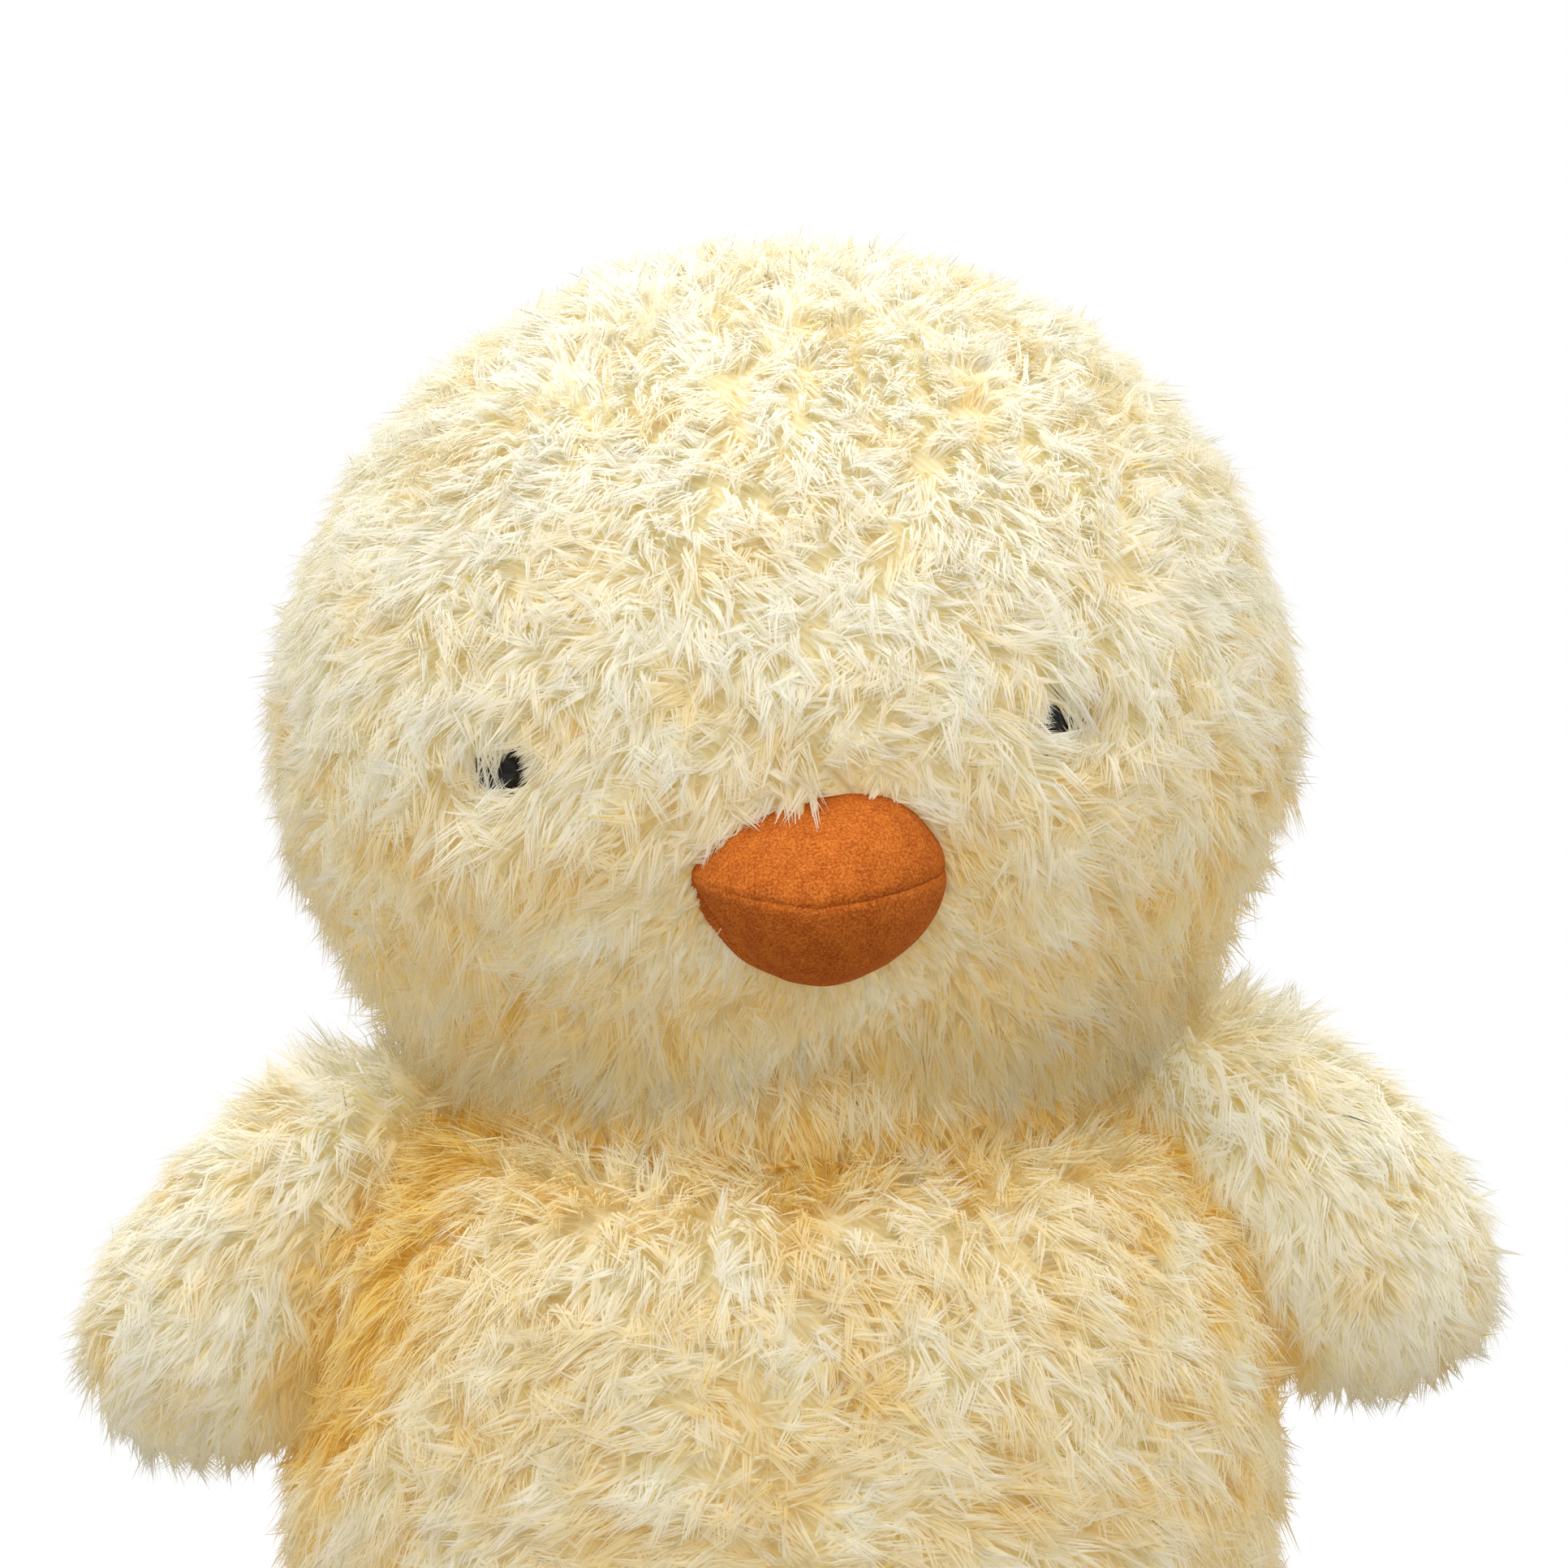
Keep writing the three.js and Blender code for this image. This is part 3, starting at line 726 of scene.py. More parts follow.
@dataclass
class HeadForm(StuffedForm):
    """The head: a broad dome on full cheeks, with the pile's bed pressed in round the eyes."""

    width: float = HEAD_WIDTH
    depth: float = HEAD_DEPTH
    below: float = HEAD_BELOW
    above: float = HEAD_ABOVE
    place: Matrix = field(default_factory=HEAD_PLACE.copy)
    rings: int = 64
    steps: int = 192
    pressed: Band = (4.5, 11)  # mm from an eye's middle

    def fullness(self, point: Vector) -> float:
        """Presses the bed down to nothing at an eye's flange."""
        return float(smoothstep(min((point - eye_place(side)[0]).length for side in Side), *self.pressed))


def wing_form(side: Side, outboard: float, lift: float) -> StuffedForm:
    """Gives a wing's egg, hung from its hinge.

    Args:
        side: The toy's side.
        outboard: Millimetres from the widest ring to the tip.
        lift: Millimetres that the wing is sewn on above its hinge's own line.

    Returns:
        The form.
    """
    hinge = joint_place(f"{side.word}_wing_lift")
    hinge.y = 0
    turn = Matrix.Rotation(math.radians(side.value * (90 + 43)), 4, "Y")
    shift = Matrix.Translation(Vector((-side.value * lift, 0, 31)) * MM)
    place = Matrix.Translation(hinge) @ turn @ shift
    return StuffedForm(21, 16, 38, outboard, squareness=2.6, place=place, steps=64, bed=2.2, sewn=38)


HEAD_FORM = HeadForm()
BODY_FORM = BodyForm()
NECK_FORM = StuffedForm(*[NECK_RADIUS - 0.4] * 4, place=Matrix.Translation(NECK), lumps=0, bed=0)
WING_FORMS = {
    Side.LEFT: wing_form(Side.LEFT, outboard=38, lift=12),
    Side.RIGHT: wing_form(Side.RIGHT, outboard=42, lift=1.5),
}
TAIL_PLACE = Matrix.Translation((0, 64.6 * MM, 46 * MM)) @ Matrix.Rotation(math.radians(32 - 90), 4, "X")
TAIL_FORM = StuffedForm(width=17, depth=12, below=12, above=24, place=TAIL_PLACE, steps=48)


@dataclass
class Waves:
    """A smooth random field: sine waves of about one length, in random directions."""

    random: Chance
    length: float  # mm from crest to crest
    count: int = 14

    def __post_init__(self) -> None:
        """Draws the waves."""
        pitch = math.tau / (self.length * MM) * self.random.uniform(0.7, 1.4, (3, self.count, 1))
        self.waves = unit(self.random.normal(size=(3 * self.count, 3))).reshape(3, self.count, 3) * pitch
        self.phases = self.random.uniform(0, math.tau, (3, self.count))

    def vectors(self, points: Points) -> Points:
        """Gives a random vector for each row, alike at near points."""
        rows = [np.sin(points @ w.T + p).sum(axis=1) for w, p in zip(self.waves, self.phases)]
        return np.column_stack(rows) * math.sqrt(2 / self.count)


@dataclass
class Roots:
    """Where tufts grow: rows of points and normals, with how the pile lies there."""

    points: Points
    normals: Points
    flow: Points  # the way the pile is combed, along the surface
    lay: Points | float = 50.0  # degrees from upright
    length: Points | float = 10.0  # mm
    dye: Points | float = 0.2  # 0 is cream, 1 golden: dye that strays at random, and painted shade where the combs raise it
    ruffle: Points | float = 0.65  # how far a lock strays from the comb

    def __post_init__(self) -> None:
        """Gives each row its own values."""
        for part in fields(self)[3:]:
            setattr(self, part.name, np.full(len(self.points), getattr(self, part.name)))

    def keep(self, mask: Points) -> "Roots":
        """Gives the roots that a mask holds."""
        return Roots(*(getattr(self, part.name)[mask] for part in fields(self)))


def fanned(corners: Sequence[int]) -> list[tuple[int, int, int]]:
    """Splits a face into triangles that all start at its lowest corner."""
    first = corners.index(min(corners))
    turned = [*corners[first:], *corners[:first]]
    return [(turned[0], *pair) for pair in zip(turned[1:], turned[2:])]


def scattered(mesh: bpy.types.Mesh, spacing: float, random: Chance) -> tuple[Points, Points]:
    """Scatters points evenly over a skin.

    Args:
        mesh: The skin's mesh.
        spacing: Millimetres from point to point.
        random: The source of chance.

    Returns:
        Points and normals, as rows.
    """
    # A spin leaves its faces in no fixed order, so they are sorted, and every run grows the same pile
    corners = np.array(sorted(part for face in mesh.polygons for part in fanned(list(face.vertices))))
    places, normals = np.empty((2, len(mesh.vertices) * 3), dtype=np.float32)
    mesh.vertices.foreach_get("co", places)
    mesh.vertices.foreach_get("normal", normals)
    places, normals = (rows.reshape(-1, 3).astype(np.float64) for rows in (places, normals))
    a, b, c = (places[corners[:, i]] for i in range(3))
    edges = np.cumsum(np.linalg.norm(np.cross(b - a, c - a), axis=1) / 2)
    number = int(edges[-1] / (spacing * MM) ** 2)
    picks = (np.arange(number) + random.random(number)) / number * edges[-1]
    chosen = corners[np.minimum(np.searchsorted(edges, picks), len(corners) - 1)]
    one, two = random.random((2, number))
    fold = one + two > 1
    one[fold], two[fold] = 1 - one[fold], 1 - two[fold]
    shares = np.column_stack((1 - one - two, one, two))
    found, facing = (np.einsum("ij,ijk->ik", shares, rows[chosen]) for rows in (places, normals))
    return found, unit(facing)


class Strand:
    """One bundle of fibres: a fine blade with one bend, wide at its middle and pointed at its tip."""

    def __init__(self, parts: int) -> None:
        """Makes the blade from a grid of a few parts in length, drawn together at its end."""
        mesh = bmesh.new()
        bmesh.ops.create_grid(mesh, x_segments=1, y_segments=parts, size=1)
        end = [vert for vert in mesh.verts if vert.co.y > 0.99]
        bmesh.ops.pointmerge(mesh, verts=end, merge_co=(0, 1, 0))
        bmesh.ops.triangulate(mesh, faces=mesh.faces[:])
        # Seen with its tip up and its outer face to the front, a blade's own X runs to the left
        bmesh.ops.reverse_faces(mesh, faces=mesh.faces[:])
        mesh.verts.index_update()
        corners = np.array([vert.co[:] for vert in mesh.verts])
        self.along = (corners[:, 1] + 1) / 2
        self.sideways = corners[:, 0]
        self.faces = np.array([[vert.index for vert in face.verts] for face in mesh.faces])
        mesh.free()
        self.girth = np.interp(self.along, (0, 0.5, 1), (0.8, 1.0, 0.0))


STRAND = Strand(parts=2)


def bent(share: float | Points, start: Points, middle: Points, tip: Points) -> Points:
    """Gives the points at a share of the way along strands that bend towards a middle."""
    return (1 - share) ** 2 * start + 2 * share * (1 - share) * middle + share**2 * tip


@dataclass
class Window:
    """A round hole in the pile, trimmed so that an eye can see out.

    The sizes are in metres, and the hole runs from its middle along its way out.
    """

    middle: Vector
    across: float
    high: float
    way: Vector = field(default_factory=lambda: Vector((0, -1, 0.14)).normalized())

    def holds(self, points: Points) -> Points:
        """Says which rows lie in the hole."""
        from_middle = points - np.array(self.middle)
        level = Vector((0, 0, 1)).cross(self.way).normalized()
        x = from_middle @ np.array(level) / self.across
        z = from_middle @ np.array(self.way.cross(level)) / self.high
        return (x * x + z * z < 1) & (from_middle @ np.array(self.way) > -1 * MM)


@dataclass
class Tufts:
    """Turns roots into locks of a few strands each, and locks into pieces."""

    random: Chance
    windows: Sequence[Window] = ()
    strands: int = 8  # in a lock
    spread: float = 1.3  # mm from a lock's middle to its outermost root
    rooted: float = 0.8  # mm that a strand starts under the skin
    gather: float = 0.9  # mm that the tips of a lock stand apart
    uneven: Band = (0.72, 1.1)  # the shortest and longest strand, as parts of the lock's length
    stray: float = 6.0  # degrees
    rise: float = 0.4  # how steeply a strand leaves the skin, as a part of its lay
    curl: float = 0.22  # how far a lock bends aside, as a part of its length
    width: float = 0.195  # mm, half of a strand
    girths: Band = (0.7, 1.25)  # the finest and coarsest strand, as parts of the width
    sag: float = 0.1  # how far a strand's tip falls, as a part of its length
    floor: float = 0.4  # mm that every strand stays above the floor
    softness: float = 0.82  # how far the light falls on a strand as on the skin under it
    fade: float = 0.06  # how far a strand's dye strays
    odd: float = 0.03  # the part of the strands with any dye at all

    def trim(self, start: Points, middle: Points, tip: Points) -> tuple[Points, Points]:
        """Cuts strands short where they would cross a window.

        Args:
            start: The strands' roots.
            middle: What they bend towards.
            tip: Their tips.

        Returns:
            The new middles and tips.
        """
        share = np.ones((len(start), 1))
        for window in self.windows:
            for step in np.linspace(1, 0.08, 12):
                inside = window.holds(bent(step, start, middle, tip))
                jagged = step + self.random.uniform(-0.12, 0.1, inside.sum())
                share[inside, 0] = np.minimum(share[inside, 0], np.clip(jagged, 0.05, 1))
        return start + (middle - start) * share, bent(share, start, middle, tip)

    def shape(self, roots: Roots) -> tuple[Points, Points, Points]:
        """Works out every corner of every strand.

        Args:
            roots: Where the locks grow.

        Returns:
            Corners and normals, as strands x corners x 3, and the golden share of each strand, its dye and
            painted shade.
        """
        random = self.random
        number = len(roots.points) * self.strands

        def repeat(rows: Points) -> Points:
            return np.repeat(rows, self.strands, axis=0)

        points, normals, flow = repeat(roots.points), repeat(roots.normals), repeat(roots.flow)
        across = np.cross(normals, flow)
        ways = random.uniform(0, math.tau, number)
        reach = np.sqrt(random.random(number)) * self.spread * MM
        offset = (flow * np.cos(ways)[:, None] + across * np.sin(ways)[:, None]) * reach[:, None]
        start = points + offset - normals * self.rooted * MM
        length = (repeat(roots.length) * random.uniform(*self.uneven, number) * MM)[:, None]
        lay = np.radians(repeat(roots.lay) + random.normal(0, self.stray, number))[:, None]
        curl = repeat(random.normal(0, self.curl, len(roots.points)))[:, None] * across
        heading = unit(normals * np.cos(lay) + flow * np.sin(lay) + curl)
        steep = lay * self.rise
        rising = unit(normals * np.cos(steep) + flow * np.sin(steep) - curl)
        apart = unit(random.normal(size=(number, 3))) * (random.random(number) * self.gather * MM)[:, None]
        middle = points + offset * 0.85 + rising * length * 0.5 + 2 * apart
        tip = points + offset * 0.2 + apart + heading * length + DOWN * self.sag * length
        middle, tip = self.trim(start, middle, tip)
        spine = bent(STRAND.along[None, :, None], start[:, None], middle[:, None], tip[:, None])
        chord = unit(tip - start)
        side = unit(np.cross(normals + 0.25 * random.normal(size=(number, 3)), chord))
        outer = np.cross(chord, side)
        beside = STRAND.sideways[None, :, None] * side[:, None]
        half = (self.width * random.uniform(*self.girths, number) * MM)[:, None] * STRAND.girth[None, :]
        corners = spine + beside * half[:, :, None]
        corners[:, :, 2] = np.maximum(corners[:, :, 2], self.floor * MM)
        facing = (1 - self.softness) * (outer[:, None] + 0.7 * beside) + self.softness * normals[:, None]
        dye = np.clip(repeat(roots.dye) + random.normal(0, self.fade, number), 0.02, 0.98)
        odd = random.random(number) < self.odd
        dye[odd] = random.uniform(0.02, 0.98, odd.sum())
        return corners, facing, dye

    def piece(self, name: str, roots: Roots, body: str) -> None:
        """Makes one piece of pile.

        Args:
            name: The piece's name.
            roots: Where its locks grow.
            body: The body that it rides on.
        """
        corners, facing, dye = self.shape(roots)
        number, size = corners.shape[:2]
        loops = (STRAND.faces[None] + (np.arange(number) * size)[:, None, None]).reshape(-1)
        data = bpy.data.meshes.new(name)
        data.vertices.add(number * size)
        data.vertices.foreach_set("co", corners.astype(np.float32).reshape(-1))
        data.loops.add(len(loops))
        data.loops.foreach_set("vertex_index", loops.astype(np.int32))
        data.polygons.add(len(loops) // 3)
        data.polygons.foreach_set("loop_start", np.arange(0, len(loops), 3, dtype=np.int32))
        data.update(calc_edges=True)
        self.map_dye(data, dye)
        data.shade_smooth()
        data.normals_split_custom_set_from_vertices(unit(facing.reshape(-1, 3)).astype(np.float32))
        ridden(name, data, PILE, body)
        log.info("%s: %d strands, %d faces", name, number, len(loops) // 3)

    def map_dye(self, data: bpy.types.Mesh, dye: Points) -> None:
        """Lays each strand in the map at its golden share, dye and painted shade, from its root at the
        bottom to its tip.
        """
        across = np.clip(dye[:, None] + 0.012 * STRAND.sideways[None, :], 0.0, 1.0)
        up = np.broadcast_to(0.01 + 0.98 * STRAND.along[None, :], across.shape)
        spots = np.stack((across, up), axis=2)[:, STRAND.faces.reshape(-1), :]
        layer = data.uv_layers.new(name=BAKE_MAP)
        layer.uv.foreach_set("vector", spots.astype(np.float32).reshape(-1))


@dataclass
class Coat:
    """The pile of one stuffed form."""

    body: str
    skin: Piece
    seed: int
    spacing: float = 1.9  # mm from lock to lock
    quick_spacing: float = 1.7

    def __post_init__(self) -> None:
        """Draws the coat's fields of chance."""
        self.random = np.random.default_rng(SEED + self.seed)
        self.drift, self.clump, self.shade = (Waves(self.random, length) for length in (26, 10, 17))

    def roots(self, comb: Callable[[Roots], Roots]) -> Roots:
        """Grows the coat's roots and combs them.

        Args:
            comb: Sets how the pile lies at the roots, and drops those not needed.

        Returns:
            The combed roots.
        """
        random = self.random
        spacing = self.spacing * 1.0
        points, normals = scattered(self.skin.data, spacing, random)
        roots = comb(Roots(points, normals, np.broadcast_to(DOWN, points.shape)))
        count = len(roots.points)
        stray = self.drift.vectors(roots.points) * 0.5 + self.clump.vectors(roots.points) * 0.75
        stray += random.normal(0, 0.5, stray.shape)
        roots.flow = unit(along_surface(roots.flow + roots.ruffle[:, None] * stray, roots.normals))
        tousle = self.clump.vectors(roots.points + 0.1)
        roots.lay = roots.lay + 9 * tousle[:, 0] + random.normal(0, 5, count)
        roots.length = roots.length * (1 + 0.07 * tousle[:, 1]) * random.uniform(0.86, 1.1, count)
        shade = self.shade.vectors(roots.points)[:, 0]
        roots.dye = roots.dye + 0.14 * shade + 0.08 * random.normal(size=count)
        return roots

    def grow(
        self,
        name: str,
        comb: Callable[[Roots], Roots],
        split: Callable[[Points], dict[str, Points]] | None = None,
        windows: Sequence[Window] = (),
    ) -> None:
        """Grows the coat, in one piece or in a few.

        Args:
            name: The piece's name, or what the pieces' names start with.
            comb: As for the roots.
            split: Gives a mask of the points for each piece.
            windows: The holes in the pile.
        """
        roots = self.roots(comb)
        tufts = Tufts(self.random, windows)
        if split is None:
            tufts.piece(name, roots, self.body)
            return
        for part, mask in split(roots.points).items():
            tufts.piece(f"{name}_{part}", roots.keep(mask), self.body)


def parted(points: Points, middle: Vector, pull: Points, sideways: Points) -> Points:
    """Combs the pile down, and away from a middle.

    Args:
        points: Rows in the frame's metres.
        middle: What the pile is combed away from.
        pull: How strongly it is, a row.
        sideways: How strongly it is combed towards +X, a row.

    Returns:
        The flow, a row.
    """
    out = np.column_stack((sideways, np.zeros((len(points), 2))))
    return DOWN + pull[:, None] * unit(points - np.array(middle)) + out


@dataclass
class Beak:
    """The beak: two felt gores over stuffing, sewn together across the middle."""

    width: float = 21.5  # mm, half
    above: float = 14.0  # mm from the seam to the top
    below: float = 19.0
    reach: float = 25.0  # mm that it stands out of the face
    root: float = 8.0  # mm that it goes into the head
    lens: float = 1.45  # 1 is an oval, and above it the corners grow sharper
    lens_change: float = 0.45  # how much sharper the toy's right corner is than the middle
    bluntness: float = 0.68  # 0.5 is a dome, and 1 a point
    droop: float = 2.5  # mm that the tip hangs
    fall: float = 16.0  # mm from the head's widest ring down to the seam
    level: float = 4.4  # degrees that it turns back against the head's tilt
    side: float = 4.0  # mm that it lies towards the toy's left
    steps: int = 160
    rings: int = 56
    seam: float = 0.12  # mm between the gores
    pinch: float = 1.6  # mm beside the seam that its thread draws in
    pinch_depth: float = 0.42
    fold_depth: float = 1.4  # of the tuck at the toy's right lower edge
    fold_start: Band = (10, 28)  # degrees round from the toy's right corner, downwards
    fold_end: Band = (74, 52)
    dimple: float = 0.25  # mm
    dimple_size: float = 5.0
    peak: float = 6.0  # mm that the upper gore's peak lies towards the toy's left

    @property
    def place(self) -> Matrix:
        """Where the beak's own frame lies: its origin on the face, out along -Y."""
        seat = face_place(self.side, -self.fall)[0] * MM
        return HEAD_PLACE @ Matrix.Translation(seat) @ Matrix.Rotation(math.radians(self.level), 4, "Y")

    def lens_at(self, across: float | Points) -> float | Points:
        """Says how sharp the outline is at a distance from the middle."""
        return self.lens - self.lens_change * np.clip(across / self.width, -1, 1)

    def mould(self, point: Vector) -> Vector:
        """Moves a point of the round cone to where it lies, in the beak's own millimetres."""
        radius = math.hypot(point.x, point.z)
        out = max(-point.y, 0) / self.reach
        x, y, z = point
        turn = math.degrees(math.atan2(-point.z, -point.x))
        tuck = float(smoothstep(turn, *self.fold_start) * smoothstep(turn, *self.fold_end))
        ridge = math.exp(-(((out - 0.06) / 0.06) ** 2)) - 2.4 * math.exp(-(((out - 0.19) / 0.04) ** 2))
        swell = 1 + self.fold_depth * tuck * ridge / self.width
        if radius > 0:
            share = abs(z / radius) ** self.lens_at(x)
            high = self.above if z > 0 else self.below
            z = math.copysign(share * radius * high / self.width, z)
        x, z = x * swell, z * swell
        x += self.peak * max(z / self.above, 0) ** 1.5 * max(1 - (x / self.width) ** 2, 0)
        drawn = self.pinch_depth * max(0.0, 1 - abs(z) / self.pinch) ** 2
        wrinkle = 1 + 0.5 * noise.noise(Vector((x * 0.9, y * 0.9, 0)))
        if radius > 0:
            x -= drawn * wrinkle * x / radius
            y += drawn * wrinkle * out
        dimple = self.dimple * noise.noise(Vector((x, y, z)) / self.dimple_size)
        x += dimple * x / self.width
        z += dimple
        return Vector((x, y, z - self.droop * out**2))

    def gore(self, sign: int) -> BMesh:
        """Builds one gore as a closed half of the beak, the upper one for 1 and the lower for -1."""
        profile = [(0.0, -self.root), (self.width, -self.root), (self.width, -self.root / 2)]
        for i in range(self.rings):
            share = math.sin(i / self.rings * math.pi / 2)
            profile.append((self.width * (1 - share**2) ** self.bluntness, self.reach * share))
        mesh = turned_mesh([*profile, (0.0, self.reach)], self.steps)
        forwards = Matrix.Rotation(math.pi / 2, 3, "X")
        bmesh.ops.rotate(mesh, cent=(0, 0, 0), matrix=forwards, verts=mesh.verts[:])
        cut = bmesh.ops.bisect_plane(
            mesh,
            geom=mesh.verts[:] + mesh.edges[:] + mesh.faces[:],
            plane_co=(0, 0, sign * self.seam / 2),
            plane_no=(0, 0, -sign),
            clear_outer=True,
        )
        rim = [edge for edge in cut["geom_cut"] if isinstance(edge, bmesh.types.BMEdge)]
        bmesh.ops.contextual_create(mesh, geom=rim)
        return placed(mesh, self.mould, self.place)

    def make(self) -> None:
        """Builds both gores."""
        finished("beak_upper_gore", self.gore(1), FELT, "head", ("upper_beak", "beak_filling"), 0.9)
        finished("beak_lower_gore", self.gore(-1), FELT, "head", ("lower_beak",), 0.9)

    def outline(self, points: Points) -> Points:
        """Says how far points are from the beak's axis, 1 on its outline where it meets the face."""
        local = seen_from(points, self.place)
        high = np.where(local[:, 2] > 0, self.above, self.below)
        lens = np.abs(local[:, 2] / high) ** (1 / self.lens_at(local[:, 0])) ** 2
        across = local[:, 0] - self.peak * np.clip(local[:, 2] / self.above, 0, 1) ** 1.5
        return (np.abs(across) / self.width) ** 2 + lens**2


@dataclass
class Eye:
    """A safety eye: a glossy dome on a flange, pressed through the face."""

    side: Side
    sight: tuple[float, float, float]  # half sizes of the part that shows, and how far it lies towards +X
    radius: float = 5.0  # mm
    dome: float = 4.4  # mm high
    flange: float = 1.0  # mm thick
    gap: float = 0.3  # mm between the flange and the face
    shank: float = 2.0  # mm, half
    depth: float = 13.0  # mm of shank under the face
    edge: float = 0.25  # mm that the rims are rounded

    @property
    def middle(self) -> Vector:
        """The middle of the eye's flange in the frame."""
        return HEAD_PLACE @ (eye_place(self.side)[0] * MM)

    @property
    def window(self) -> Window:
        """The hole that is trimmed in the pile before the eye."""
        across, high, shift = self.sight
        return Window(self.middle + Vector((shift * MM, 0, 0)), across * MM, high * MM)

    def make(self) -> None:
        """Builds the eye."""
        profile = [(0.0, -self.depth), (self.shank, -self.depth)]
        profile += [(self.shank, self.gap), (self.radius, self.gap)]
        for i in range(12):
            turn = i / 12 * math.pi / 2
            rise = self.flange + (self.dome - self.flange) * math.sin(turn)
            profile.append((self.radius * math.cos(turn), self.gap + rise))
        mesh = turned_mesh([*profile, (0.0, self.gap + self.dome)], 40)
        rounded(mesh, 50, self.edge, segments=2, clamp_overlap=True)
        point, way = eye_place(self.side)
        turn = Vector((0, 0, 1)).rotation_difference(way).to_matrix().to_4x4()
        place = HEAD_PLACE @ Matrix.Translation(point * MM) @ turn @ TO_METRES
        bmesh.ops.transform(mesh, matrix=place, verts=mesh.verts[:])
        finished(f"{self.side.word}_safety_eye", mesh, EYE_PLASTIC, "head", (f"{self.side.word}_eye",))


@dataclass
class Head:
    """The head: its skin, pile, beak and eyes, and the gusset that joins it to the body."""

    beak: Beak = field(default_factory=Beak)
    eyes: tuple[Eye, Eye] = (Eye(Side.LEFT, (1.1, 2.6, -0.8)), Eye(Side.RIGHT, (2.2, 3.3, 1.2)))
    forelock: tuple[float, float] = (4.5, 2.5)  # mm on the face, of a tuft that falls over the beak
    crown: Band = (30, 66)  # mm above the head's widest ring
    low: Band = (24, -30)
    chin: Band = (-30, -52)
    under_beak: Band = (-4, -26)
    parting: float = 38.0  # mm round the beak's seat where the pile is combed away from it
    round_eye: Band = (15, 8)  # mm from an eye's middle
    brow: float = 34.0  # mm above the widest ring where the crown's piece starts
    cheek: float = 46.0  # mm from the middle where a cheek's piece starts

    def comb(self, roots: Roots) -> Roots:
        """Combs the head's pile: down from the crown, away from the beak, and in over the eyes.

        Args:
            roots: The plain roots.

        Returns:
            The combed roots outside the neck, the beak and the eyes.
        """
        outline = self.beak.outline(roots.points)
        front = seen_from(roots.points, HEAD_PLACE)[:, 1] < 0
        keep = (NECK_FORM.level(roots.points) >= 1) & ~(front & (outline < 0.92))
        for eye in self.eyes:
            keep &= gap_to(roots.points, eye.middle) > eye.radius + 0.2
        roots, outline, front = roots.keep(keep), outline[keep], front[keep]
        across, _, height = seen_from(roots.points, HEAD_PLACE).T
        crown, low, chin, under = (
            smoothstep(height, *band) for band in (self.crown, self.low, self.chin, self.under_beak)
        )
        lock = smoothstep(gap_to(roots.points, HEAD_PLACE @ (face_place(*self.forelock)[0] * MM)), 7, 2)
        seat = self.beak.place.translation
        near = np.exp(-((gap_to(roots.points, seat) / self.parting) ** 2)) * (0.3 + 0.7 * under) * (1 - lock)
        roots.flow = parted(roots.points, seat, 2.6 * near, 0.3 * np.tanh(across / 30))
        hugging = smoothstep(outline, 2.6, 0.95) * front * (1 - lock)
        roots.lay = 54 + 8 * low - 10 * crown - 36 * chin + 14 * hugging - 34 * lock
        roots.ruffle = 0.85 - 0.2 * low + 0.3 * crown
        roots.length = (9 + 2 * low - 1.2 * crown + 3 * chin) * (1 - 0.42 * hugging) + 5 * lock
        # Painted shade: the pile is more golden low on the head and under the chin, where it is in shade
        roots.dye = 0.02 + 0.33 * low + 0.15 * chin
        for eye in self.eyes:
            close = smoothstep(gap_to(roots.points, eye.middle), *self.round_eye)
            inwards = unit(np.array(eye.middle) - roots.points)
            roots.flow = roots.flow + 1.6 * close[:, None] * inwards
            roots.length = roots.length * (1 + 0.25 * close)
            roots.lay = roots.lay - 8 * close
            roots.ruffle = roots.ruffle * (1 - 0.7 * close)
        return roots

    def comb_gusset(self, roots: Roots) -> Roots:
        """Combs the gusset's pile down over the neck seam, and drops what the head covers."""
        height = (roots.points[:, 2] - NECK.z) / MM
        keep = (height > -6) & (HEAD_FORM.level(roots.points, 3) > 1)
        roots, seam = roots.keep(keep), smoothstep(height[keep], 10, -2)
        # Painted shade: the gusset's pile is golden, more so down towards the neck seam, for the shade in
        # the crease under the head
        roots.dye = 0.35 + 0.4 * seam
        roots.length = 11 - 4 * seam
        roots.lay = 40 + 14 * seam
        return roots

    def split(self, points: Points) -> dict[str, Points]:
        """Shares the head's pile out to its pieces."""
        across, deep, height = seen_from(points, HEAD_PLACE).T
        crown = height > self.brow
        sideways = np.abs(across) > self.cheek
        return {
            "crown": crown,
            "face": ~crown & ~sideways & (deep < 0),
            "left_cheek": ~crown & (across > self.cheek),
            "right_cheek": ~crown & (across < -self.cheek),
            "nape": ~crown & ~sideways & (deep >= 0),
        }

    def make(self) -> None:
        """Builds the head and everything on it."""
        skin = HEAD_FORM.skin("head_skin", "head", ("head_cover", "head_filling"), 0.9)
        gusset = NECK_FORM.skin("neck_gusset_skin", "head", ("neck_gusset", "neck_filling"), 0.8)
        self.beak.make()
        for eye in self.eyes:
            eye.make()
        windows = [eye.window for eye in self.eyes]
        Coat("head", skin, seed=1).grow("head_pile", self.comb, self.split, windows)
        Coat("head", gusset, seed=2).grow("neck_pile", self.comb_gusset)


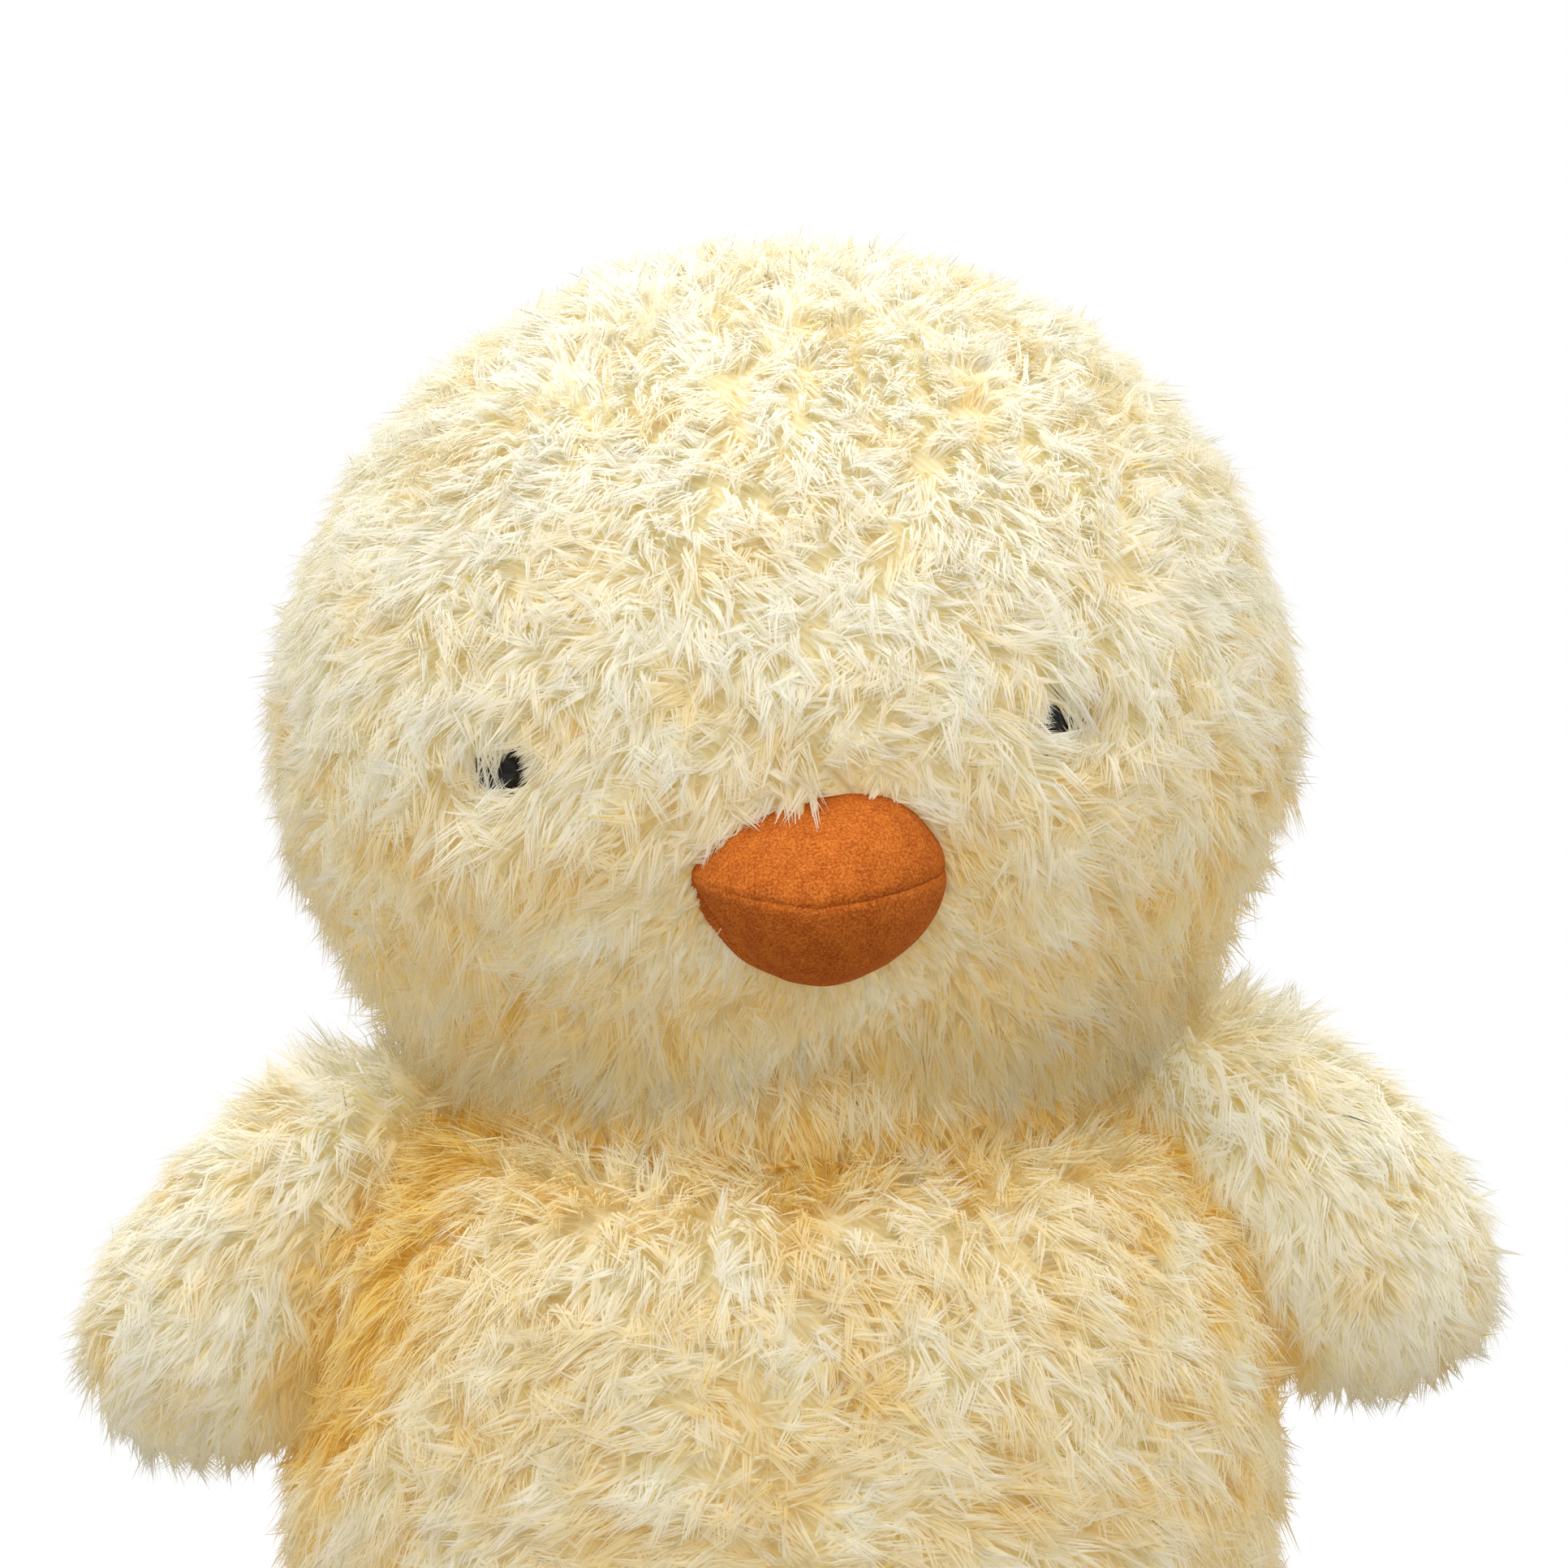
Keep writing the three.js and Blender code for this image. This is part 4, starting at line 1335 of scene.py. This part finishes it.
@dataclass
class Body:
    """The body: its skin and pile, the base panel, the pouch and the neck's thread."""

    whorl: Vector = field(default_factory=lambda: Vector((2, -74, 74)) * MM)
    whorl_reach: float = 42.0  # mm
    wing_crease: Band = (3.8, 1.3)  # in levels of the wing's form, where the chest's pile is painted golden as shade
    collar: Band = (1.9, 1.05)  # in levels of the neck ball
    under: Band = (16, 2)  # mm above the floor
    flank: float = 50.0  # degrees round from the front, where a flank's piece starts
    rump: float = 130.0

    def comb(self, roots: Roots) -> Roots:
        """Combs the body's pile: down, but outwards round the whorl on the belly.

        Args:
            roots: The plain roots.

        Returns:
            The combed roots outside the neck, the wings, the tail and the base.
        """
        covered = (NECK_FORM.level(roots.points, 1.5) < 1) | (roots.points[:, 2] < 1.5 * MM)
        for form in (*WING_FORMS.values(), TAIL_FORM):
            covered |= form.level(roots.points, 1) < 1
        roots = roots.keep(~covered)
        points = roots.points
        near = np.exp(-((gap_to(points, self.whorl) / self.whorl_reach) ** 2))
        roots.flow = parted(points, self.whorl, 2.4 * near, 0.25 * np.tanh(points[:, 0] / (35 * MM)))
        # Painted shade: how far into the creases by the chest's tuck and the wings a root lies
        crease = BODY_FORM.drawn_in(seen_from(points, BODY_FORM.place))
        for form in WING_FORMS.values():
            crease = np.maximum(crease, smoothstep(form.level(points), *self.wing_crease))
        collar = smoothstep(NECK_FORM.level(points), *self.collar)
        side = np.abs(unit(roots.normals)[:, 0])
        # Painted shade: the pile is golden in the creases by the wings and round the neck
        roots.dye = 0.33 + 0.67 * crease + 0.25 * collar
        roots.lay = 56 + 8 * side**2 - 24 * collar
        roots.length = (10.3 + 1.5 * collar) * (1 - 0.4 * smoothstep(points[:, 2] / MM, *self.under))
        return roots

    def split(self, points: Points) -> dict[str, Points]:
        """Shares the body's pile out to its pieces."""
        turn = np.degrees(np.arctan2(points[:, 0], -points[:, 1]))
        return {
            "chest": np.abs(turn) < self.flank,
            "left_flank": (turn >= self.flank) & (turn < self.rump),
            "right_flank": (turn <= -self.flank) & (turn > -self.rump),
            "rump": np.abs(turn) >= self.rump,
        }

    def make(self) -> None:
        """Builds the body, and gives the CAD nodes that stay their finishes."""
        skin = BODY_FORM.skin("body_skin", "body", ("body_cover", "body_filling"), 0.9)
        Coat("body", skin, seed=3).grow("body_pile", self.comb, self.split)
        self.base_panel()
        for node, finish in KEPT_NODES.items():
            frame["nodes"][node].data.materials.clear()
            frame["nodes"][node].data.materials.append(finish.material())

    def base_panel(self) -> None:
        """Builds the woven panel under the toy, with its edge turned in."""
        low, high = (Vector(corner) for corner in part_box("base_panel"))
        mesh = bmesh.new()
        bmesh.ops.create_cone(mesh, cap_ends=True, segments=96, radius1=1, radius2=1, depth=2)
        bmesh.ops.scale(mesh, vec=(high - low) / 2, verts=mesh.verts[:])
        bmesh.ops.translate(mesh, vec=(low + high) / 2, verts=mesh.verts[:])
        rounded(mesh, 60, 0.9 * MM, segments=4)
        finished("woven_base_panel", mesh, CALICO, "body", ("base_panel",), 0.2, smooth=False)


@dataclass
class Wing:
    """A wing: a stuffed egg with its pile, hung from the shoulder."""

    side: Side
    crease: Band = (1.5, 1.0)  # in levels of the body's form, where the wing's pile is painted golden as shade
    shoulder: Band = (0, -30)  # mm from the widest ring, inwards

    def comb(self, roots: Roots) -> Roots:
        """Combs the wing's pile out to its tip and down, long over the shoulder.

        Args:
            roots: The plain roots.

        Returns:
            The combed roots outside the body and the neck.
        """
        form = WING_FORMS[self.side]
        roots = roots.keep((BODY_FORM.level(roots.points, 2.5) > 1) & (NECK_FORM.level(roots.points) > 1))
        outwards = np.array(form.place.to_3x3() @ OUTWARDS)
        roots.flow = np.broadcast_to(outwards + DOWN * 0.7, roots.points.shape)
        # Painted shade: golden where the wing lies against the body
        roots.dye = 0.03 + 0.8 * smoothstep(BODY_FORM.level(roots.points), *self.crease)
        inwards = seen_from(roots.points, form.place)[:, 2]
        shoulder = smoothstep(inwards, *self.shoulder) * (roots.normals[:, 2] > 0.2)
        roots.length = 8.8 + 5 * shoulder
        roots.lay = 58 - 24 * shoulder
        return roots

    def make(self) -> None:
        """Builds the wing."""
        word = self.side.word
        stands_for = (f"{word}_wing_cover", f"{word}_wing_filling")
        skin = WING_FORMS[self.side].skin(f"{word}_wing_skin", f"{word}_wing", stands_for, 0.8)
        Coat(f"{word}_wing", skin, seed=4 + self.side.value).grow(f"{word}_wing_pile", self.comb)


class Tail:
    """The tail: a short stuffed nub with its pile, sewn to the rump."""

    def comb(self, roots: Roots) -> Roots:
        """Combs the tail's pile out to its tip."""
        roots = roots.keep(BODY_FORM.level(roots.points, 2.5) > 1)
        outwards = np.array(TAIL_FORM.place.to_3x3() @ OUTWARDS)
        roots.flow = np.broadcast_to(outwards, roots.points.shape)
        return roots

    def make(self) -> None:
        """Builds the tail."""
        skin = TAIL_FORM.skin("tail_skin", "body", ("tail_cover", "tail_filling"), 0.8)
        Coat("body", skin, seed=7).grow("tail_pile", self.comb)


@dataclass
class Foot:
    """A foot: a felt top with round toes over stuffing, on a felt sole."""

    side: Side
    width: float = 25.0  # mm, half
    depth: float = 31.0  # mm, half of the foot's length
    height: float = 16.0
    squareness: float = 2.4
    toe_turn: float = 45.0  # degrees from toe to toe
    cleft: float = 0.2  # how deep a cleft is at the sole, as a part of the oval
    cleft_fade: float = 0.5  # how much of it is gone at the top
    clefts: Band = (84, 53)  # degrees round from the front
    splay: float = 17.0  # degrees that the toes point out
    spread: float = 33.0  # mm from the middle of the toy
    heel: float = 45.0  # mm from the middle of the toy forward to the heel
    sole: float = 1.6  # mm thick
    sole_edge: float = 0.4
    gap: float = 0.3  # mm between the sole and the top
    lip: float = 0.6  # mm that the top's edge stands upright
    steps: int = 128
    rings: int = 20

    @property
    def place(self) -> Matrix:
        """Where the foot's own frame lies: its heel at the origin, out along -Y."""
        heel = Matrix.Translation(Vector((self.side.value * self.spread, -self.heel, 0)) * MM)
        return heel @ Matrix.Rotation(math.radians(self.side.value * self.splay), 4, "Z")

    def toed(self, point: Vector) -> Vector:
        """Draws a point of the oval in at the clefts between the toes, and moves it out from the heel."""
        turn = math.atan2(point.x, -point.y)
        front = float(smoothstep(abs(turn), *map(math.radians, self.clefts)))
        cleft = self.cleft * front * (1 - abs(math.cos(turn * 180 / self.toe_turn)))
        edge = 1 - cleft * (1 - self.cleft_fade * point.z / self.height)
        return Vector((point.x * edge, point.y * edge - self.depth, point.z))

    def turned(self, profile: Profile) -> BMesh:
        """Turns a profile into an oval with toes, and puts it in its place."""
        mesh = turned_mesh(profile, self.steps)
        bmesh.ops.scale(mesh, vec=(1, self.depth / self.width, 1), verts=mesh.verts[:])
        return placed(mesh, self.toed, self.place)

    def make(self) -> None:
        """Builds the foot's top and sole."""
        foot = f"{self.side.word}_foot"
        floor = self.sole + self.gap
        profile = [(0.0, floor), (self.width * 0.97, floor)]
        for i in range(self.rings):
            turn = i / self.rings * math.pi / 2
            rise = self.lip + (self.height - floor - self.lip) * math.sin(turn) ** (2 / self.squareness)
            profile.append((self.width * math.cos(turn) ** (2 / self.squareness), floor + rise))
        top = self.turned([*profile, (0.0, self.height)])
        finished(f"{foot}_felt_top", top, FELT, foot, (f"{foot}_top", f"{foot}_filling"), 0.8)
        width, edge = self.width, self.sole_edge
        profile = [(0.0, 0.0), (width - edge, 0.0), (width, edge), (width, self.sole - edge)]
        sole = self.turned([*profile, (width - edge, self.sole), (0.0, self.sole)])
        finished(f"{foot}_felt_sole", sole, FELT, foot, (f"{foot}_sole",), smooth=False)


@dataclass(frozen=True)
class StudioFloor(Finish):
    """White paper on the studio's floor: dull near the toy, and plain white further off."""

    name: str = "studio_floor"
    near: float = 0.12  # metres from the toy's middle where the paper starts to fade
    far: float = 0.34
    round_about: str = "#8F877B"  # what the toy gets light back from
    paper: str = "#F6F5F2"

    def surface(self, tree: Tree) -> Socket:
        """Mixes paper that takes the shadow with plain white for what only looks at it."""
        place = add_node(tree, "TexCoord").outputs["Object"]
        away = add_node(tree, "VectorMath", {0: place}, operation="LENGTH").outputs["Value"]
        far = add_node(tree, "MapRange", {"Value": away, "From Min": self.near, "From Max": self.far})
        path = add_node(tree, "LightPath").outputs
        seen = figure(tree, "ADD", path["Is Camera Ray"], path["Is Glossy Ray"])
        seen = figure(tree, "ADD", seen, path["Is Transmission Ray"], use_clamp=True)
        tone = blend(tree, path["Is Camera Ray"], linear(self.round_about), linear(self.paper))
        paper = add_node(tree, "BsdfDiffuse", {"Color": tone})
        white = add_node(tree, "Emission", {"Color": WHITE, "Strength": 1.0})
        return mix_shaders(tree, figure(tree, "MULTIPLY", seen, far.outputs[0]), paper, white)


@dataclass(frozen=True)
class Lamp:
    """A soft square lamp."""

    name: str
    place: tuple[float, float, float]
    size: float
    power: float

    def make(self, aim: Vector) -> None:
        """Hangs the lamp and turns it to a point."""
        data = bpy.data.lights.new(self.name, "AREA")
        data.shape = "SQUARE"
        data.size = self.size
        data.energy = self.power
        data.color = linear("#FFFDF8")[:3]
        aimed(linked(self.name, data), Vector(self.place), aim)


def aimed(obj: Piece, place: Vector, aim: Vector) -> None:
    """Puts a lamp or the camera at a place and turns it to a point."""
    obj.location = place
    obj.rotation_euler = (aim - place).to_track_quat("-Z", "Y").to_euler()


@dataclass
class Studio:
    """The camera, the lamps, the sky and the floor, in metres."""

    elevation: float = 8.0  # degrees
    distance: float = 1.2
    aim: tuple[float, float, float] = (0.0, 0.0, 0.202)
    lens: float = 156.5  # mm
    horizon: float = 0.5  # the sky's strength level with the toy
    zenith: float = 1.0  # and overhead
    fibre_bounces: int = 6
    floor_radius: float = 2.5
    floor_drop: float = 0.0002
    lamps: Sequence[Lamp] = (
        Lamp("key", (-0.5, -0.8, 1.55), 1.6, 9.0),
        Lamp("top", (0.0, -0.1, 1.6), 1.8, 10.0),
        Lamp("fill", (1.1, -1.2, 0.8), 1.6, 3.0),
    )

    def make(self) -> None:
        """Builds the studio."""
        scene = bpy.context.scene
        scene.view_settings.view_transform = "Standard"
        # Pale fibre hands light on from strand to strand many times before it comes out again
        scene.cycles.diffuse_bounces = self.fibre_bounces
        scene.cycles.max_bounces = self.fibre_bounces
        # Quicker to trace where long thin faces lie across each other
        scene.cycles.debug_use_spatial_splits = True
        aim, slope = Vector(self.aim), math.radians(self.elevation)
        data = bpy.data.cameras.new("camera")
        data.lens = self.lens
        scene.camera = linked("camera", data)
        aimed(scene.camera, aim + self.distance * Vector((0, -math.cos(slope), math.sin(slope))), aim)
        for lamp in self.lamps:
            lamp.make(aim)
        self.make_sky()
        self.make_floor()

    def make_sky(self) -> None:
        """Lights the toy from all round, and shows plain white behind it."""
        world = bpy.data.worlds.new("studio")
        world.use_nodes = True
        tree = world.node_tree
        tree.nodes.clear()
        way = add_node(tree, "TexCoord").outputs["Generated"]
        height = add_node(tree, "SeparateXYZ", {0: way}).outputs["Z"]
        strength = {"Value": height, "From Min": -0.1, "To Min": self.horizon, "To Max": self.zenith}
        level = add_node(tree, "MapRange", strength).outputs[0]
        soft = add_node(tree, "Background", {"Color": linear("#FFFDFA"), "Strength": level})
        white = add_node(tree, "Background", {"Color": WHITE, "Strength": 1.0})
        seen = add_node(tree, "LightPath").outputs["Is Camera Ray"]
        add_node(tree, "OutputWorld", {"Surface": mix_shaders(tree, seen, soft, white)})
        bpy.context.scene.world = world

    def make_floor(self) -> None:
        """Lays the floor."""
        mesh = bmesh.new()
        bmesh.ops.create_circle(mesh, cap_ends=True, segments=64, radius=self.floor_radius)
        data = bpy.data.meshes.new("floor")
        mesh.to_mesh(data)
        mesh.free()
        data.materials.append(StudioFloor().material())
        floor = linked("floor", data)
        floor.location.z = -self.floor_drop


def main() -> None:
    """Builds the toy and its studio."""
    logging.basicConfig(level=logging.INFO, format="%(message)s")
    Studio().make()
    Body().make()
    Head().make()
    for side in Side:
        Wing(side).make()
        Foot(side).make()
    Tail().make()


if __name__ == "__main__":
    main()
